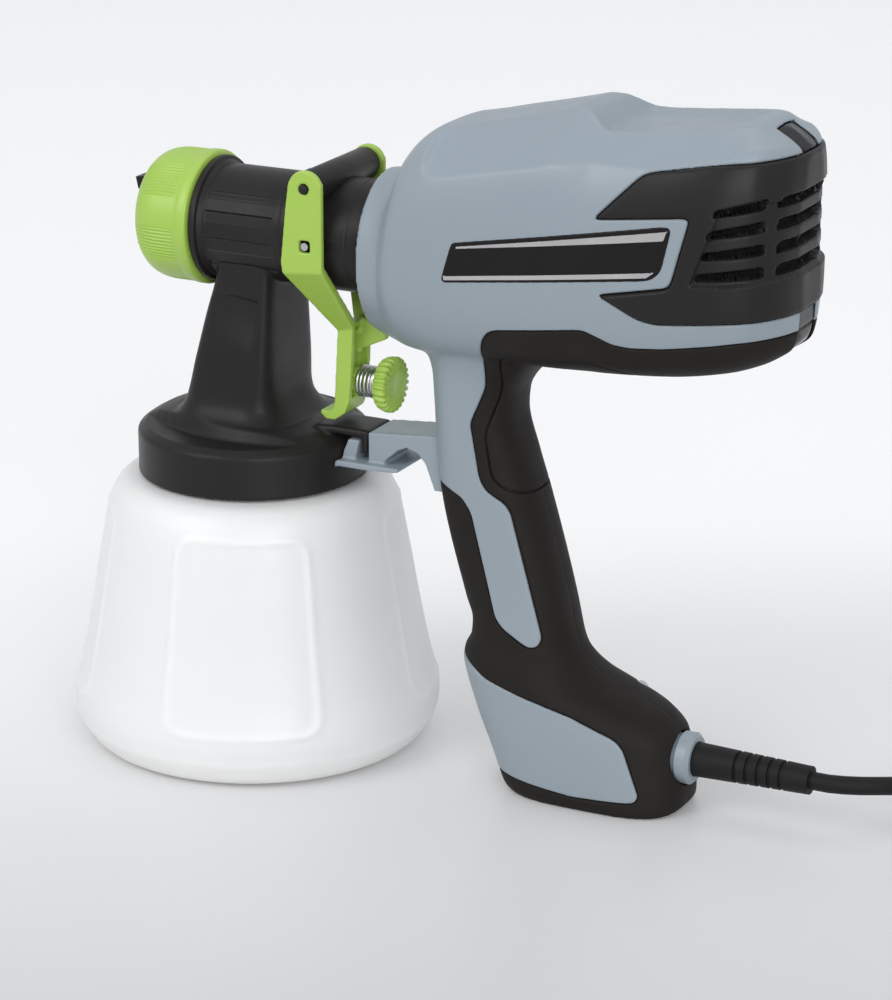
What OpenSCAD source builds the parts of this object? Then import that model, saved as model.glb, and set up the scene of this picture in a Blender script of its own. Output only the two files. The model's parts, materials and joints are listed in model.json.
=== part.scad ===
// Handheld turbine paint sprayer: pistol-grip blower housing with a screw-on paint cup in front.
// X runs from the nozzle (-) to the air inlet (+), Z is up, Y = 0 is the plane where the shells meet.
// Everything stands on Z = 0: the cup on its base and the handle on its foot.

/* [Cup] */
// Largest radius of the paint cup
cup_r = 72.5; // [68:0.5:76]
// Radius of the cup's flat base
cup_base_r = 60; // [54:1:64]
// Height of the cup's shoulder, where the lid begins
cup_h = 109; // [104:1:114]
// Wall of the cup
cup_wall = 1.8; // [1.2:0.1:2.4]
// Radius of the cup's threaded neck
neck_r = 40.6; // [39:0.2:41]
// Height of the neck above the shoulder
neck_h = 13; // [10:0.5:14]
// Height of the beads that frame the cup's four side panels
bead_h = 0.6; // [0.4:0.1:0.8]
// Width of those beads
bead_w = 3.6; // [2.8:0.2:4.4]

/* [Lid and pylon] */
// Radius of the lid's skirt
lid_r = 45; // [44.5:0.5:47]
// Height of the lid's straight skirt
lid_h = 17.5; // [16.5:0.5:18.5]
// Rise of the lid's dome above its skirt
dome_h = 7.5; // [6.5:0.5:8.5]
// Half width of the pylon where it meets the barrel
pylon_top_w = 17; // [15:0.5:18]
// Half width of the pylon at its foot
pylon_foot_w = 22; // [20:0.5:24]
// Thickness of the lid's latch lug
lug_t = 3; // [2.4:0.2:3.6]
// Half width of the latch lug
lug_w = 9.6; // [8:0.2:10]

/* [Barrel] */
// Height of the barrel's axis above the lid's skirt
barrel_up = 81; // [79.5:0.5:82.5]
// Radius of the front barrel
barrel_r = 21.4; // [21:0.1:21.6]
// Radius of the rear tube that plugs into the blower's nose
tube_r = 21.8; // [21.5:0.1:22.2]
// Radius of the collar between the two
collar_r = 23; // [22.5:0.1:23.4]
// Radius of the flange behind the cap ring
flange_r = 24.2; // [23.5:0.1:24.8]
// Wall of the barrel
barrel_wall = 2.4; // [2:0.1:3]
// Radius of the paint passage
paint_r = 3; // [2.4:0.1:3.4]

/* [Nozzle set] */
// Outer radius of the cap ring
cap_r = 26; // [25.6:0.1:26.6]
// Length of the cap ring
cap_len = 26; // [25:0.5:28]
// Radius of the opening in the cap ring
cap_hole_r = 15; // [13:0.5:16]
// Height of the air cap's two horns
horn_h = 8; // [6:0.5:9]
// Radius of the fluid tip's hole
tip_r = 1.3; // [1:0.1:1.6]
// Radius of the needle
needle_r = 1.6; // [1.3:0.1:1.8]

/* [Trigger] */
// Place of the trigger's pivot, behind the cup's axis
pivot_x = 38; // [37:0.5:39]
// Height of the trigger's pivot above the barrel's axis
pivot_up = 22; // [21.5:0.5:22.5]
// Thickness of the trigger's arms
arm_t = 2.5; // [2:0.1:3]
// Radius of the trigger's pin
pin_r = 2; // [1.6:0.1:2.2]
// Half width of the trigger's leg
leg_w = 8; // [7:0.5:9]
// Thickness of the tab that works the switch
tab_t = 3; // [2.4:0.2:3.6]

/* [Flow knob] */
// Radius of the flow knob
knob_r = 11; // [10:0.5:11.5]
// Thickness of the knob's rim
knob_t = 6.4; // [5:0.2:7]
// Number of flutes round the knob
knob_flutes = 18; // [12:1:24]
// Drop of the knob's axis below the pivot
knob_drop = 79.2; // [78:0.2:80]
// Wire of the knob's spring
spring_wire = 1; // [0.8:0.1:1.2]
// Turns of the knob's spring
spring_turns = 4; // [3:1:4]

/* [Housing] */
// Half width of the blower housing
body_w = 41; // [40:0.5:43]
// Wall of the housing
wall = 2.6; // [2.2:0.1:3]
// Depth of the soft grip and of the panels let into the shells
skin = 1.6; // [1.2:0.1:2]
// Radius of the hole in the nose
nose_hole_r = 22.6; // [22.4:0.1:23]
// Depth of the flat panel let into the top
deck_depth = 0.8; // [0.4:0.1:1.2]
// Half width of the latch bracket's arm
bracket_w = 10; // [9.8:0.1:11]
// Radius of the screw bosses
boss_r = 4; // [3.6:0.2:4.6]

/* [Handle] */
// Half width of the grip
grip_w = 18.5; // [17.5:0.5:20]
// Half width of the foot
foot_w = 23.5; // [22:0.5:25]

/* [Grille] */
// Thickness of the rear grille
grille_t = 3; // [2.8:0.1:3.4]
// How far the grille's bands stand proud of the shells
grille_proud = 0.8; // [0.4:0.1:1]
// How far the bars lie behind the bands
bar_set_back = 1.7; // [1.2:0.1:2]
// Height of each air slot
slot_h = 4.2; // [3.6:0.2:4.8]
// Pitch of the air slots
slot_pitch = 8.2; // [7.8:0.1:8.4]

/* [Turbine] */
// Height of the motor's axis above the barrel's
motor_up = 10.5; // [9.5:0.5:11.5]
// Radius of the fan's drum
drum_r = 34; // [32:0.5:35]
// Length of the fan's drum
drum_len = 30; // [28:1:32]
// Radius of the motor's can
motor_r = 21; // [19:0.5:22]
// Number of blades on the fan
blades = 11; // [7:1:13]
// Radius of the motor's shaft
shaft_r = 2.5; // [2:0.1:3]

/* [Mains lead] */
// Diameter of the mains lead
lead_d = 7; // [6.4:0.2:7.4]
// Height of the lead's outlet
gland_z = 20.5; // [19.5:0.5:21.5]
// Radius of the gland's collar
gland_r = 10; // [9.5:0.1:10.4]
// Loops in the stored coil
coil_loops = 7.25; // [6.25:1:8.25]
// Radius of the coil's outer loop
coil_r = 49; // [48:0.5:51]

/* [Fits] */
// Running clearance of a shaft in its bearing
running = 0.05; // [0.03:0.01:0.08]
// Clearance between pieces that move past each other
clear = 0.4; // [0.3:0.05:0.5]
// Gap between pieces that are seated in each other
seat = 0.2; // [0.1:0.05:0.25]

/* [Hidden] */
$fn = 64;

// Places measured from the cup's axis; relief_end closes the part's length
relief_end = 236;
cup_x = -(relief_end - cup_r) / 2;
nose_x = 60;
rear_x = 229;
shell_mid = (nose_x + rear_x) / 2;
shell_half = (rear_x - nose_x) / 2;
lid_top = cup_h + lid_h;
barrel_z = lid_top + barrel_up;
motor_z = barrel_z + motor_up;
pivot_z = barrel_z + pivot_up;
knob_z = pivot_z - knob_drop;
cap_back = -14;
cap_front = cap_back - cap_len;
lug_end = lid_r + 11;
big = 400;

// The stations, outlines and screws below are drawn for a barrel at this height; a higher or lower
// barrel takes the blower along and stretches the handle between its foot and the trigger
drawn_z = 207.5;
function lift(z) = z + (barrel_z - drawn_z) * min(1, max(0, (z - 60) / 90));
function lifted(points) = [for (p = points) [p[0], lift(p[1])]];

// Stations of the blower housing: [x, top, bottom, half width as a share of body_w, squareness of
// the upper half, squareness of the lower half]
SHELL = [
  [60, 234.6, 172.4, 0.66, 2, 2], [70, 235.8, 169.4, 0.73, 2.1, 2.1], [73, 238.8, 169, 0.8, 2.3, 2.2],
  [77, 246.4, 168.8, 0.87, 2.6, 2.4], [84, 253.4, 168.6, 0.92, 2.9, 2.6], [96, 258.8, 168.8, 0.955, 3.3, 2.8],
  [120, 263.6, 169.8, 0.98, 3.8, 3], [147, 269.8, 171.2, 1, 4.2, 3.3], [153, 268.8, 171.6, 1, 4.2, 3.3],
  [160, 266, 172, 1, 4.3, 3.4], [186, 266.8, 174.2, 0.985, 4.4, 3.5], [205, 268, 177.4, 0.92, 4.2, 3.4],
  [217, 267.4, 181.4, 0.78, 4, 3.4], [223, 265.8, 184.8, 0.62, 3.8, 3.4], [227, 263.6, 187.4, 0.42, 3.6, 3.4],
  [229, 260.4, 190.4, 0.22, 3.4, 3.4]
];

// Stations of the handle: [z, front, rear, half width as a share of grip_w, squareness of the front,
// squareness of the rear]
GRIP = [
  [0, 117.4, 184.4, 1.16, 3.4, 3.2], [2.4, 114.6, 186.6, 1.235, 3.4, 3.1], [9, 111.2, 187.2, 1.27, 3.2, 2.8],
  [18, 107.2, 186.2, 1.28, 3, 2.6], [29, 102.4, 184.6, 1.27, 3, 2.4], [36, 99.6, 178.6, 1.25, 2.9, 2.2],
  [41, 97.8, 168.4, 1.23, 2.8, 2.1], [46, 96.4, 155.4, 1.2, 2.7, 2.1], [51, 95.4, 147, 1.16, 2.6, 2.2],
  [55, 96.2, 143, 1.11, 2.6, 2.3], [60, 98.6, 140.6, 1.06, 2.6, 2.4], [66, 99, 139, 1.03, 2.6, 2.5],
  [75, 96, 137, 1, 2.6, 2.6], [117, 85.2, 125.2, 0.98, 2.6, 2.6],
  [130, 83.8, 120.8, 0.97, 2.6, 2.6], [148, 83, 115.8, 0.98, 2.6, 2.6], [155, 82.6, 116.4, 1, 2.6, 2.6],
  [162, 82, 120.2, 1.05, 2.6, 2.6], [168, 80.4, 127, 1.14, 2.6, 2.6], [173, 78, 136, 1.25, 2.6, 2.6],
  [190, 76, 146, 1.3, 2.6, 2.6]
];

// Side outlines of the pieces let into the shells: [x, z]
GRIP_OUTLINE = [
  [110.8, 171], [112, 174.4], [115.6, 182.8], [118.4, 186.6], [122, 188.4], [157.8, 193.6], [161, 192.6],
  [169.4, 189.2], [176, 188.7], [188.3, 189.8], [212.6, 193.4], [250, 196.4], [250, 160], [160, 100],
  [220, 60], [220, -5], [80, -5], [80, 60], [86, 70], [78, 121], [92, 118.4], [99.2, 115.8],
  [103.2, 110.6], [113.6, 70.6], [116.9, 66.8], [127.9, 60.4], [131.4, 61], [132.8, 64.4],
  [119.2, 112.2], [116.8, 115.8], [109.4, 120.2], [106.8, 124.6], [103, 145.4], [109.6, 160.4]
];
PAD_OUTLINE = [
  [117.2, 172.2], [114.8, 160.2], [108.6, 141.6], [111.6, 125.4], [116, 121.4], [122.9, 119],
  [136, 116.6], [152, 130], [190, 160], [168.7, 177.2], [159, 179.8], [120, 174.6]
];
PANEL_OUTLINE = [
  [80, 58], [97.5, 52.6], [110.8, 46.2], [126.6, 42.2], [147.4, 37.6], [163.5, 31.6], [166.4, 29.8],
  [168.8, 26.6], [175, 9.6], [173.8, 7], [171, 6.4], [148, 5.6], [118.7, 8.2], [104, 8.8], [80, 26]
];
GRILLE_OUTLINE = [
  [162.4, 235.3], [179.3, 252.3], [184, 254], [205.5, 257.8], [250, 260.6], [250, 202.6], [208.7, 201.2],
  [185.8, 199.4], [179.2, 200.6], [164.3, 208], [190.7, 213.3], [192.3, 215.5], [198.2, 238],
  [196.5, 239.1]
];

// Trigger outlines, measured from its pivot: [x, z]
ARM = [[-6.6, 2], [-8, -8], [-10.2, -29], [-9.6, -33], [7.4, -31], [7.4, 2]];
LEG = [
  [3.9, -56.4], [10.7, -54.6], [9.3, -79], [8.5, -86.5], [6.6, -91], [2.4, -94], [-1.4, -94.2],
  [-4, -92], [-3.6, -90.6], [-1, -90.8], [1.4, -89.6], [2.2, -87]
];
LEG_POCKET = [[6.6, -57.4], [12, -56], [12, -85], [5.2, -85]];
TAB = [[9, -53.4], [12.4, -54], [21.4, -59.6], [21.2, -61.4], [10.8, -66.2], [9, -66]];
carrier_r = 1.5;
square_hole = 4.6;

// Screws: [x, z, depth of the head's seat on the +Y side]
SCREWS = [
  [86, 243, 20], [168, 251.5, 22], [196, 188.4, 14], [104, 160, 9], [118, 100, 9], [118, 30, 14],
  [160, 38.6, 13]
];
screw_r = 1.5;
head_r = 3.1;

// Route of the free lead from the strain relief to the coil, in round numbers
LEAD_ROUTE = [
  [236, 0, 20.5], [243, 0, 20.5], [249, 1.4, 20.5], [254, 3.8, 20.3], [258.5, 7, 19.9],
  [262.5, 11.2, 19.1], [265.5, 16, 17.9], [267.8, 21.5, 16.2], [269.2, 27.5, 14.2], [269.8, 34, 11.9],
  [270, 41, 9.5], [270, 49, 7.2], [270, 58, 5.2], [270, 67, 4], [270, 75, 3.6], [270, 82, 3.5]
];
lead_r = lead_d / 2;
coil_x = 270 + coil_r;
coil_y = 90;
loop_pitch = lead_d + 0.6;
loop_steps = 24;
tail_len = 26;
plug_len = 38;
plug_w = 26;
plug_h = 2 * (loop_pitch + lead_r);

// ---------- curves and lofts ----------

function power(v, p) = sign(v) * pow(abs(v), p);

// A rounded rectangle as [u, v] points round the origin, of squareness p above and q below
function squircle(a, b, p, q, n) = [
  for (k = [0:n - 1])
    let (u = cos(360 * k / n), v = sin(360 * k / n), e = 2 / (v < 0 ? q : p))
      [a * power(u, e), b * power(v, e)]
];

// Rings of the blower housing and of the handle, drawn in by off from their outside
function shell_ring(s, off, n) = [
  for (p = squircle(body_w * s[3] - off, (s[1] - s[2]) / 2 - off, s[4], s[5], n))
    [shell_mid + (s[0] - shell_mid) * (shell_half - off) / shell_half, p[0], lift((s[1] + s[2]) / 2) + p[1]]
];
function grip_half(s) = s[0] < 60 ? grip_w + (s[3] - 1) / 0.27 * (foot_w - grip_w) : grip_w * s[3];
function grip_ring(s, off, n) = [
  for (p = squircle(grip_half(s) - off, (s[2] - s[1]) / 2 - off, s[5], s[4], n))
    [(s[1] + s[2]) / 2 + p[1], p[0], lift(s[0]) + off * max(0, 1 - s[0] / 60)]
];

// A closed solid through a list of rings with equal counts of points
module loft(rings, flip) {
  n = len(rings[0]);
  m = len(rings);
  points = [for (r = rings) each r];
  sides = [for (i = [0:m - 2], k = [0:n - 1]) let (a = i * n + k, b = i * n + (k + 1) % n)
    each [[a, b, b + n], [a, b + n, a + n]]];
  ends = [[for (k = [n - 1:-1:0]) k], [for (k = [0:n - 1]) (m - 1) * n + k]];
  faces = concat(sides, ends);
  polyhedron(points, flip ? [for (f = faces) [for (k = [len(f) - 1:-1:0]) f[k]]] : faces);
}

// The outer form of blower and handle, drawn in by off: n points a ring, and every skip-th station
function thinned(list, skip) = [for (i = [0:len(list) - 1]) if (i % skip == 0 || i == len(list) - 1) list[i]];
module form(off, n = 28, skip = 1) {
  loft([for (s = thinned(SHELL, skip)) shell_ring(s, off, n)], true);
  loft([for (s = thinned(GRIP, skip)) grip_ring(s, off, n)], false);
}
module hollow() { form(wall + skin, 16, 2); }

// A tube of radius r with k sides swept along points; its end rings stand square to end_a and end_b
function unit(v) = v / norm(v);
function heading(p, i, a, b) =
  i == 0 ? unit(a) : i == len(p) - 1 ? unit(b) : unit(unit(p[i + 1] - p[i]) + unit(p[i] - p[i - 1]));
function tube_ring(c, t, r, k) =
  let (side = unit(cross([0, 0, 1], t)), up = cross(t, side))
    [for (j = [0:k - 1]) c + r * (cos(360 * j / k) * side + sin(360 * j / k) * up)];
module swept_tube(p, r, k, a, b) {
  loft([for (i = [0:len(p) - 1]) tube_ring(p[i], heading(p, i, a, b), r, k)], false);
}

// Least distance between points of a path that lie at least skip steps apart
function self_distance(p, skip) =
  min([for (i = [0:len(p) - 1]) for (j = [i + skip:1:len(p) - 1]) norm(p[i] - p[j])]);
function path_length(p) = [for (i = [1:len(p) - 1]) norm(p[i] - p[i - 1])] * [for (i = [1:len(p) - 1]) 1];

// ---------- placing ----------

// From the cup's axis to the part's own origin
module placed() { translate([cup_x, 0, 0]) children(); }
// A piece drawn along +Z is laid along +X at height z
module lying(x, z) { translate([x, 0, z]) rotate([0, 90, 0]) children(); }
// A piece drawn in X-Y is stood up in X-Z, t thick about Y = 0
module upright(t) { rotate([90, 0, 0]) linear_extrude(t, center = true) children(); }
// The halves of the shells: side is -1 for left and 1 for right
module half_space(side) { translate([-big / 2, side < 0 ? -big / 2 : 0, -big / 4]) cube([2 * big, big / 2, 2 * big]); }
// A ring between two radii
module ring(h, ro, ri) {
  difference() {
    cylinder(h, r = ro);
    translate([0, 0, -1]) cylinder(h + 2, r = ri);
  }
}
// ---------- shells ----------

module region(points) { upright(big) polygon(lifted(points)); }
module grip_region() { region(GRIP_OUTLINE); }
module pad_region() { region(PAD_OUTLINE); }
module panel_region() { region(PANEL_OUTLINE); }
module grille_region() { region(GRILLE_OUTLINE); }
// The part of the grille that has slots, w larger all round
module air_inlet(w) {
  region([[198 - w, 214.4 - w], [250, 216.4 - w], [250, 249 + w], [208.4 - w, 242.8 + w]]);
}
module spine_region(w) { translate([220, -w, 150]) cube([40, 2 * w, 160]); }

// Hole for the lead's gland, with a flat seat for its collar
gland_x = 180.6;
module gland_seat() {
  lying(gland_x - 9, gland_z) cylinder(20, r = gland_r - 1 + seat, $fn = 32);
  lying(gland_x + 4, gland_z) cylinder(20, r = gland_r + seat, $fn = 32);
}

// Latch bracket in front of the handle: base plate, slanted post, rear wall and arm, measured from
// the end of the lid's lug and the top of its skirt
module bracket() {
  difference() {
    translate([lug_end, 0, lid_top]) {
      upright(2 * bracket_w + 6) polygon([[-16, -7.7], [0, -7.7], [14, -6.9], [14, -5.2], [-16, -5.2]]);
      upright(2 * lug_w) polygon([[-12.5, -5.5], [-6.2, -5.5], [-4.2, 2.7], [-9, 2.7]]);
      upright(2 * bracket_w)
        polygon([
          [0, -6.5], [4, -7.5], [8, -2.9], [12.5, 1.1], [16.4, 2.7], [21, 1.1], [24, -2.1], [28, -12.5],
          [36, -12.5], [36, 9.5], [0, 6.7]
        ]);
    }
    translate([0, 0, cup_h]) cylinder(lid_h, r = lid_r + 2 * clear, $fn = 96);
    for (side = [-1, 1])
      translate([lug_end - 16, side * (bracket_w + 3), lid_top - 11.5]) rotate([0, 0, side * 28])
        translate([-10, side > 0 ? 0 : -20, 0]) cube([30, 20, 10]);
  }
}

module screw_bosses(side) {
  intersection() {
    form(skin + 0.6, 16, 2);
    for (s = SCREWS)
      translate([s[0], side * s[2] / 2 + side * 8, lift(s[1])]) rotate([90, 0, 0])
        cylinder(s[2] + 16, r = boss_r, center = true, $fn = 12);
  }
}

// Ribs across the shell that carry the fan's drum and the motor
module cradle(x, t, r) {
  difference() {
    intersection() {
      form(wall - 0.4, 16, 2);
      translate([x, -big / 2, motor_z - 42]) cube([t, big, 80]);
    }
    lying(x - 1, motor_z) cylinder(t + 2, r = (r + 0.02) / cos(180 / 32), $fn = 32);
  }
}

// Ribs that hold the switch in the top of the handle
module switch_ribs() {
  intersection() {
    form(wall - 0.4, 16, 2);
    for (side = [-1, 1])
      translate([switch_x + 8, side > 0 ? 7 : -27, switch_z]) cube([3, 20, 18]);
  }
}

module shell(side) {
  difference() {
    intersection() {
      union() {
        difference() {
          union() {
            form(0);
            bracket();
          }
          hollow();
        }
        difference() {
          cradle(116, 3, drum_r);
          lying(100, barrel_z) cylinder(30, r = 12, $fn = 16);
        }
        cradle(138, 3, drum_r);
        cradle(190.5, 3, motor_r + 2);
        switch_ribs();
        screw_bosses(side);
      }
      half_space(side);
    }
    // Seats for the grip, the pad, the foot panels and the grille
    difference() {
      union() {
        grip_region();
        pad_region();
        panel_region();
      }
      form(skin);
    }
    difference() {
      grille_region();
      form(grille_t);
    }
    air_inlet(seat);
    spine_region(7 + seat);
    // Nose hole, switch slot, flat deck and gland hole
    lying(nose_x - 5, barrel_z) cylinder(12, r = nose_hole_r, $fn = 56);
    translate([nose_x - 4, -tab_t / 2 - clear, rod_z - 7.5]) cube([16, tab_t + 2 * clear, rod_h + 9]);
    translate([nose_x - 4, -tab_t / 2 - clear, rod_z - 0.1]) cube([30, tab_t + 2 * clear, rod_h + 1.6]);
    translate([157, -9.2, 0]) difference() {
      cube([46, 18.4, big]);
      translate([0, 0, -deck_depth]) intersection() {
        cube([46, 18.4, big]);
        translate([-157, 9.2, 0]) form(0);
      }
    }
    gland_seat();
    // Screw holes; the heads go in from the right
    for (s = SCREWS)
      translate([s[0], 0, lift(s[1])]) rotate([90, 0, 0]) {
        cylinder(2 * s[2] + 1, r = screw_r + 0.15, center = true, $fn = 8);
        if (side > 0) translate([0, 0, -s[2] - 60]) cylinder(60, r = head_r + seat, $fn = 12);
      }
  }
}
module housing_left() { placed() color("lightslategray") shell(-1); }
module housing_right() { placed() color("lightslategray") shell(1); }

// A piece let into the skin of the shells: what lies between the outside and the seat
module inlay(side) {
  difference() {
    intersection() {
      form(0);
      children();
      if (side != 0) half_space(side);
    }
    form(skin);
    for (s = SCREWS)
      if (side > 0) translate([s[0], 0, lift(s[1])]) rotate([-90, 0, 0]) cylinder(60, r = head_r + seat, $fn = 12);
  }
}
module soft_grip(side) {
  difference() {
    inlay(side) grip_region();
    pad_region();
    panel_region();
    spine_region(7 + seat);
    gland_seat();
  }
}
module grip_left() { placed() color("#2b2826") soft_grip(-1); }
module grip_right() { placed() color("#2b2826") soft_grip(1); }
module grip_pad() { placed() color("#24211f") inlay(0) pad_region(); }
module base_panel_left() { placed() color("lightslategray") inlay(-1) panel_region(); }
module base_panel_right() { placed() color("lightslategray") inlay(1) panel_region(); }

// Air slots: number i counts from the top, each in two lengths with a post between
module air_slots() {
  for (i = [0:3]) {
    front_z = 217.8 + 0.945 * slot_pitch * (3 - i);
    rear_z = 219.6 + slot_pitch * (3 - i);
    region([
      [200.4 + 1.9 * (3 - i), front_z - slot_h / 3], [222.4, rear_z - slot_h / 2], [222.4, rear_z + slot_h / 2],
      [201.2 + 1.9 * (3 - i), front_z + slot_h / 3]
    ]);
    region([
      [224.8, rear_z - slot_h / 2], [250, rear_z - slot_h / 2], [250, rear_z + slot_h / 2],
      [225.6, rear_z + slot_h / 2]
    ]);
  }
}

module rear_grille() {
  placed() color("#262322") difference() {
    intersection() {
      form(-grille_proud);
      grille_region();
    }
    form(grille_t);
    // The bars lie a little behind the bands
    difference() {
      air_inlet(-1);
      form(bar_set_back - grille_proud);
    }
    air_slots();
  }
}

// Gloss spine that closes the shells at the rear, under the grille's bars
module rear_spine() {
  placed() color("#141414") difference() {
    intersection() {
      form(0.5);
      spine_region(7);
    }
    form(wall + skin + 2.6, 16);
    difference() {
      grille_region();
      form(grille_t);
    }
    for (z = [barrel_z - 11.5, barrel_z + 54.5]) lying(214, z) cylinder(26, r = 0.8, $fn = 6);
  }
}

module housing_screws() {
  placed() color("silver")
    for (s = SCREWS)
      translate([s[0], s[2], lift(s[1])]) rotate([90, 0, 0]) {
        cylinder(s[2] + 8, r = screw_r);
        translate([0, 0, -2.4]) difference() {
          cylinder(2.4, r = head_r);
          translate([0, 0, -1]) cylinder(2, r = 1.4, $fn = 6);
        }
      }
}

// ---------- turbine ----------

drum_x = 112;
drum_back = drum_x + drum_len;
motor_x = drum_back;
motor_len = 46;

module air_filter() {
  placed() color("#4a4a48") difference() {
    intersection() {
      hollow();
      translate([205, -big / 2, barrel_z - 11.5]) cube([7, big, 54]);
    }
    for (i = [0:9])
      hull() {
        translate([204.6, -30 + 6.6 * i, barrel_z - 17.5]) cylinder(70, r = 0.8, $fn = 8);
        translate([205.4, -30 + 6.6 * i, barrel_z - 17.5]) cylinder(70, r = 0.8, $fn = 8);
      }
  }
}

module air_duct() {
  placed() color("#3a3a3c") difference() {
    union() {
      lying(nose_x + 1, barrel_z) cylinder(19, r = nose_hole_r - seat / 2);
      hull() {
        lying(78, barrel_z) cylinder(2, r = nose_hole_r - 0.2, $fn = 24);
        lying(drum_x - 3, motor_z) cylinder(3, r = 30, $fn = 24);
      }
    }
    lying(nose_x, barrel_z) cylinder(16, r = tube_r + 0.1);
    lying(nose_x, barrel_z) cylinder(20.2, r = nose_hole_r - 2);
    hull() {
      lying(80, barrel_z) cylinder(1, r = nose_hole_r - 2, $fn = 24);
      lying(drum_x - 0.9, motor_z) cylinder(1, r = 27.6, $fn = 24);
    }
  }
}

module fan_drum() {
  placed() color("#55585c") lying(drum_x, motor_z) difference() {
    cylinder(drum_len, r = drum_r);
    translate([0, 0, 2.4]) cylinder(drum_len - 4.8, r = drum_r - 2.4);
    translate([0, 0, -1]) cylinder(4, r = 19);
    translate([0, 0, drum_len - 3]) cylinder(4, r = 8);
    for (i = [0:5]) rotate([0, 0, 60 * i]) translate([14, 0, drum_len - 3]) cylinder(4, r = 3.4);
  }
}
module fan_drum_ring() {
  placed() color("#1c1c1c") lying(drum_x + 11, motor_z) ring(6, drum_r + 1.6, drum_r);
}
module fan_wheel() {
  placed() color("gainsboro") lying(drum_x + 5, motor_z) {
    difference() {
      union() {
        translate([0, 0, drum_len - 11]) cylinder(2, r = drum_r - 4);
        translate([0, 0, 2]) cylinder(drum_len - 10, r = 6);
      }
      translate([0, 0, -1]) cylinder(drum_len, r = shaft_r);
    }
    for (i = [0:blades - 1])
      rotate([0, 0, 360 * i / blades]) translate([0, 0, 2]) linear_extrude(drum_len - 12)
        translate([0, 14]) intersection() {
          difference() {
            circle(14, $fn = 64);
            circle(13, $fn = 64);
          }
          translate([6, -9]) square([8, 24]);
        }
  }
}
module motor_shaft() {
  placed() color("silver") lying(drum_x + 4, motor_z) cylinder(drum_len + motor_len + 12, r = shaft_r);
}
module armature() {
  placed() color("#9c5a2c") lying(motor_x + 9, motor_z) difference() {
    union() {
      cylinder(26, r = 11);
      cylinder(37, r = 5);
      translate([0, 0, 28]) cylinder(9, r = 7);
      for (i = [0:11]) rotate([0, 0, 30 * i]) translate([9, -1.2, 1]) cube([5, 2.4, 24]);
    }
    translate([0, 0, -1]) cylinder(50, r = shaft_r);
  }
}
module motor_can() {
  placed() color("#6d7176") lying(motor_x, motor_z) difference() {
    cylinder(motor_len, r = motor_r);
    translate([0, 0, 7]) cylinder(motor_len, r = motor_r - 3);
    translate([0, 0, -1]) cylinder(10, r = 8);
    for (i = [0:5]) rotate([0, 0, 60 * i]) translate([14, 0, -1]) cylinder(12, r = 3);
  }
}
module motor_end_cap() {
  placed() color("#2e3033") lying(motor_x + motor_len, motor_z) difference() {
    union() {
      cylinder(8, r = motor_r);
      translate([0, 0, 8]) cylinder(4, r = 10);
    }
    translate([0, 0, -1]) cylinder(10, r = 8);
    translate([0, 0, 8]) cylinder(6, r = shaft_r + 1);
    for (i = [0:5]) rotate([0, 0, 60 * i + 30]) translate([14.5, 0, -1]) cylinder(12, r = 3.6);
  }
}
module bearing(x) {
  lying(x, motor_z) ring(7, 8, shaft_r + running);
}
module front_bearing() { placed() color("silver") bearing(motor_x - 2); }
module rear_bearing() { placed() color("silver") bearing(motor_x + motor_len + 0.5); }
module carbon_brushes() {
  placed() color("#222222") lying(motor_x + motor_len - 6, motor_z)
    for (a = [0, 180]) rotate([0, 0, a]) translate([7 + clear, -2.5, 0]) cube([9, 5, 6]);
}
module motor_mount_ring() {
  placed() color("#1c1c1c") lying(motor_x + motor_len + 1, motor_z) ring(6, motor_r + 2, motor_r);
}

// ---------- switch, lead and foot ----------

rod_front = nose_x + 1.5;
rod_len = 13;
rod_z = barrel_z - 37;
rod_h = 8;
module switch_rod() {
  placed() color("#e8e2d0") difference() {
    translate([rod_front, -tab_t / 2, rod_z]) cube([rod_len, tab_t, rod_h]);
    translate([rod_front + 4, -5, rod_z + 2]) cube([6, 10, 3]);
  }
}
switch_x = 89;
switch_z = rod_z - 5.9;
module switch_body() {
  placed() color("#1b1b1d") difference() {
    translate([switch_x, -7, switch_z]) cube([26, 14, 18]);
    lying(switch_x - 1, rod_z + rod_h / 2) cylinder(6, r = 2.2);
    for (x = [5, 21]) translate([switch_x + x, 0, switch_z + 3]) rotate([90, 0, 0]) cylinder(20, r = 1.4, center = true);
  }
}
module terminal_block() {
  placed() color("#f0f0ea") difference() {
    translate([130, -9, wall + skin]) cube([20, 18, 12]);
    for (y = [-4.6, 4.6]) {
      translate([140, y, 8]) cylinder(10, r = 2);
      lying(129, 10) translate([0, y, 0]) cylinder(22, r = 1.6);
    }
  }
}
module cord_clamp() {
  placed() color("#2a2a2a") difference() {
    translate([160, -11, wall + skin]) cube([9, 22, gland_z + 4]);
    lying(159, gland_z) cylinder(11, r = lead_r + seat);
    for (y = [-7.6, 7.6]) translate([164.5, y, 10]) cylinder(30, r = 1.5);
  }
}
module cord_gland() {
  placed() color("slategray") lying(gland_x, gland_z) {
    difference() {
      union() {
        translate([0, 0, 4]) cylinder(4, r = gland_r);
        cylinder(5, r = gland_r - 1);
        translate([0, 0, 8]) cylinder(1.4, r1 = gland_r, r2 = gland_r - 1.4);
      }
      translate([0, 0, -1]) cylinder(12, r = 6.8);
    }
  }
}
relief_x = gland_x - 8;
module strain_relief() {
  placed() color("#1e1e1e") lying(relief_x, gland_z) difference() {
    union() {
      cylinder(gland_x - relief_x, r = 8.4);
      cylinder(18, r = 6.6);
      translate([0, 0, 18]) cylinder(relief_end - relief_x - 18, r1 = 6.6, r2 = 5.4);
    }
    translate([0, 0, -1]) cylinder(relief_end - relief_x - lead_d, r = lead_r);
    for (i = [0:4]) translate([0, 0, 34 + 4.5 * i]) ring(1.6, 9, 5.2 - 0.1 * i);
  }
}

// ---------- stored lead ----------

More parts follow.
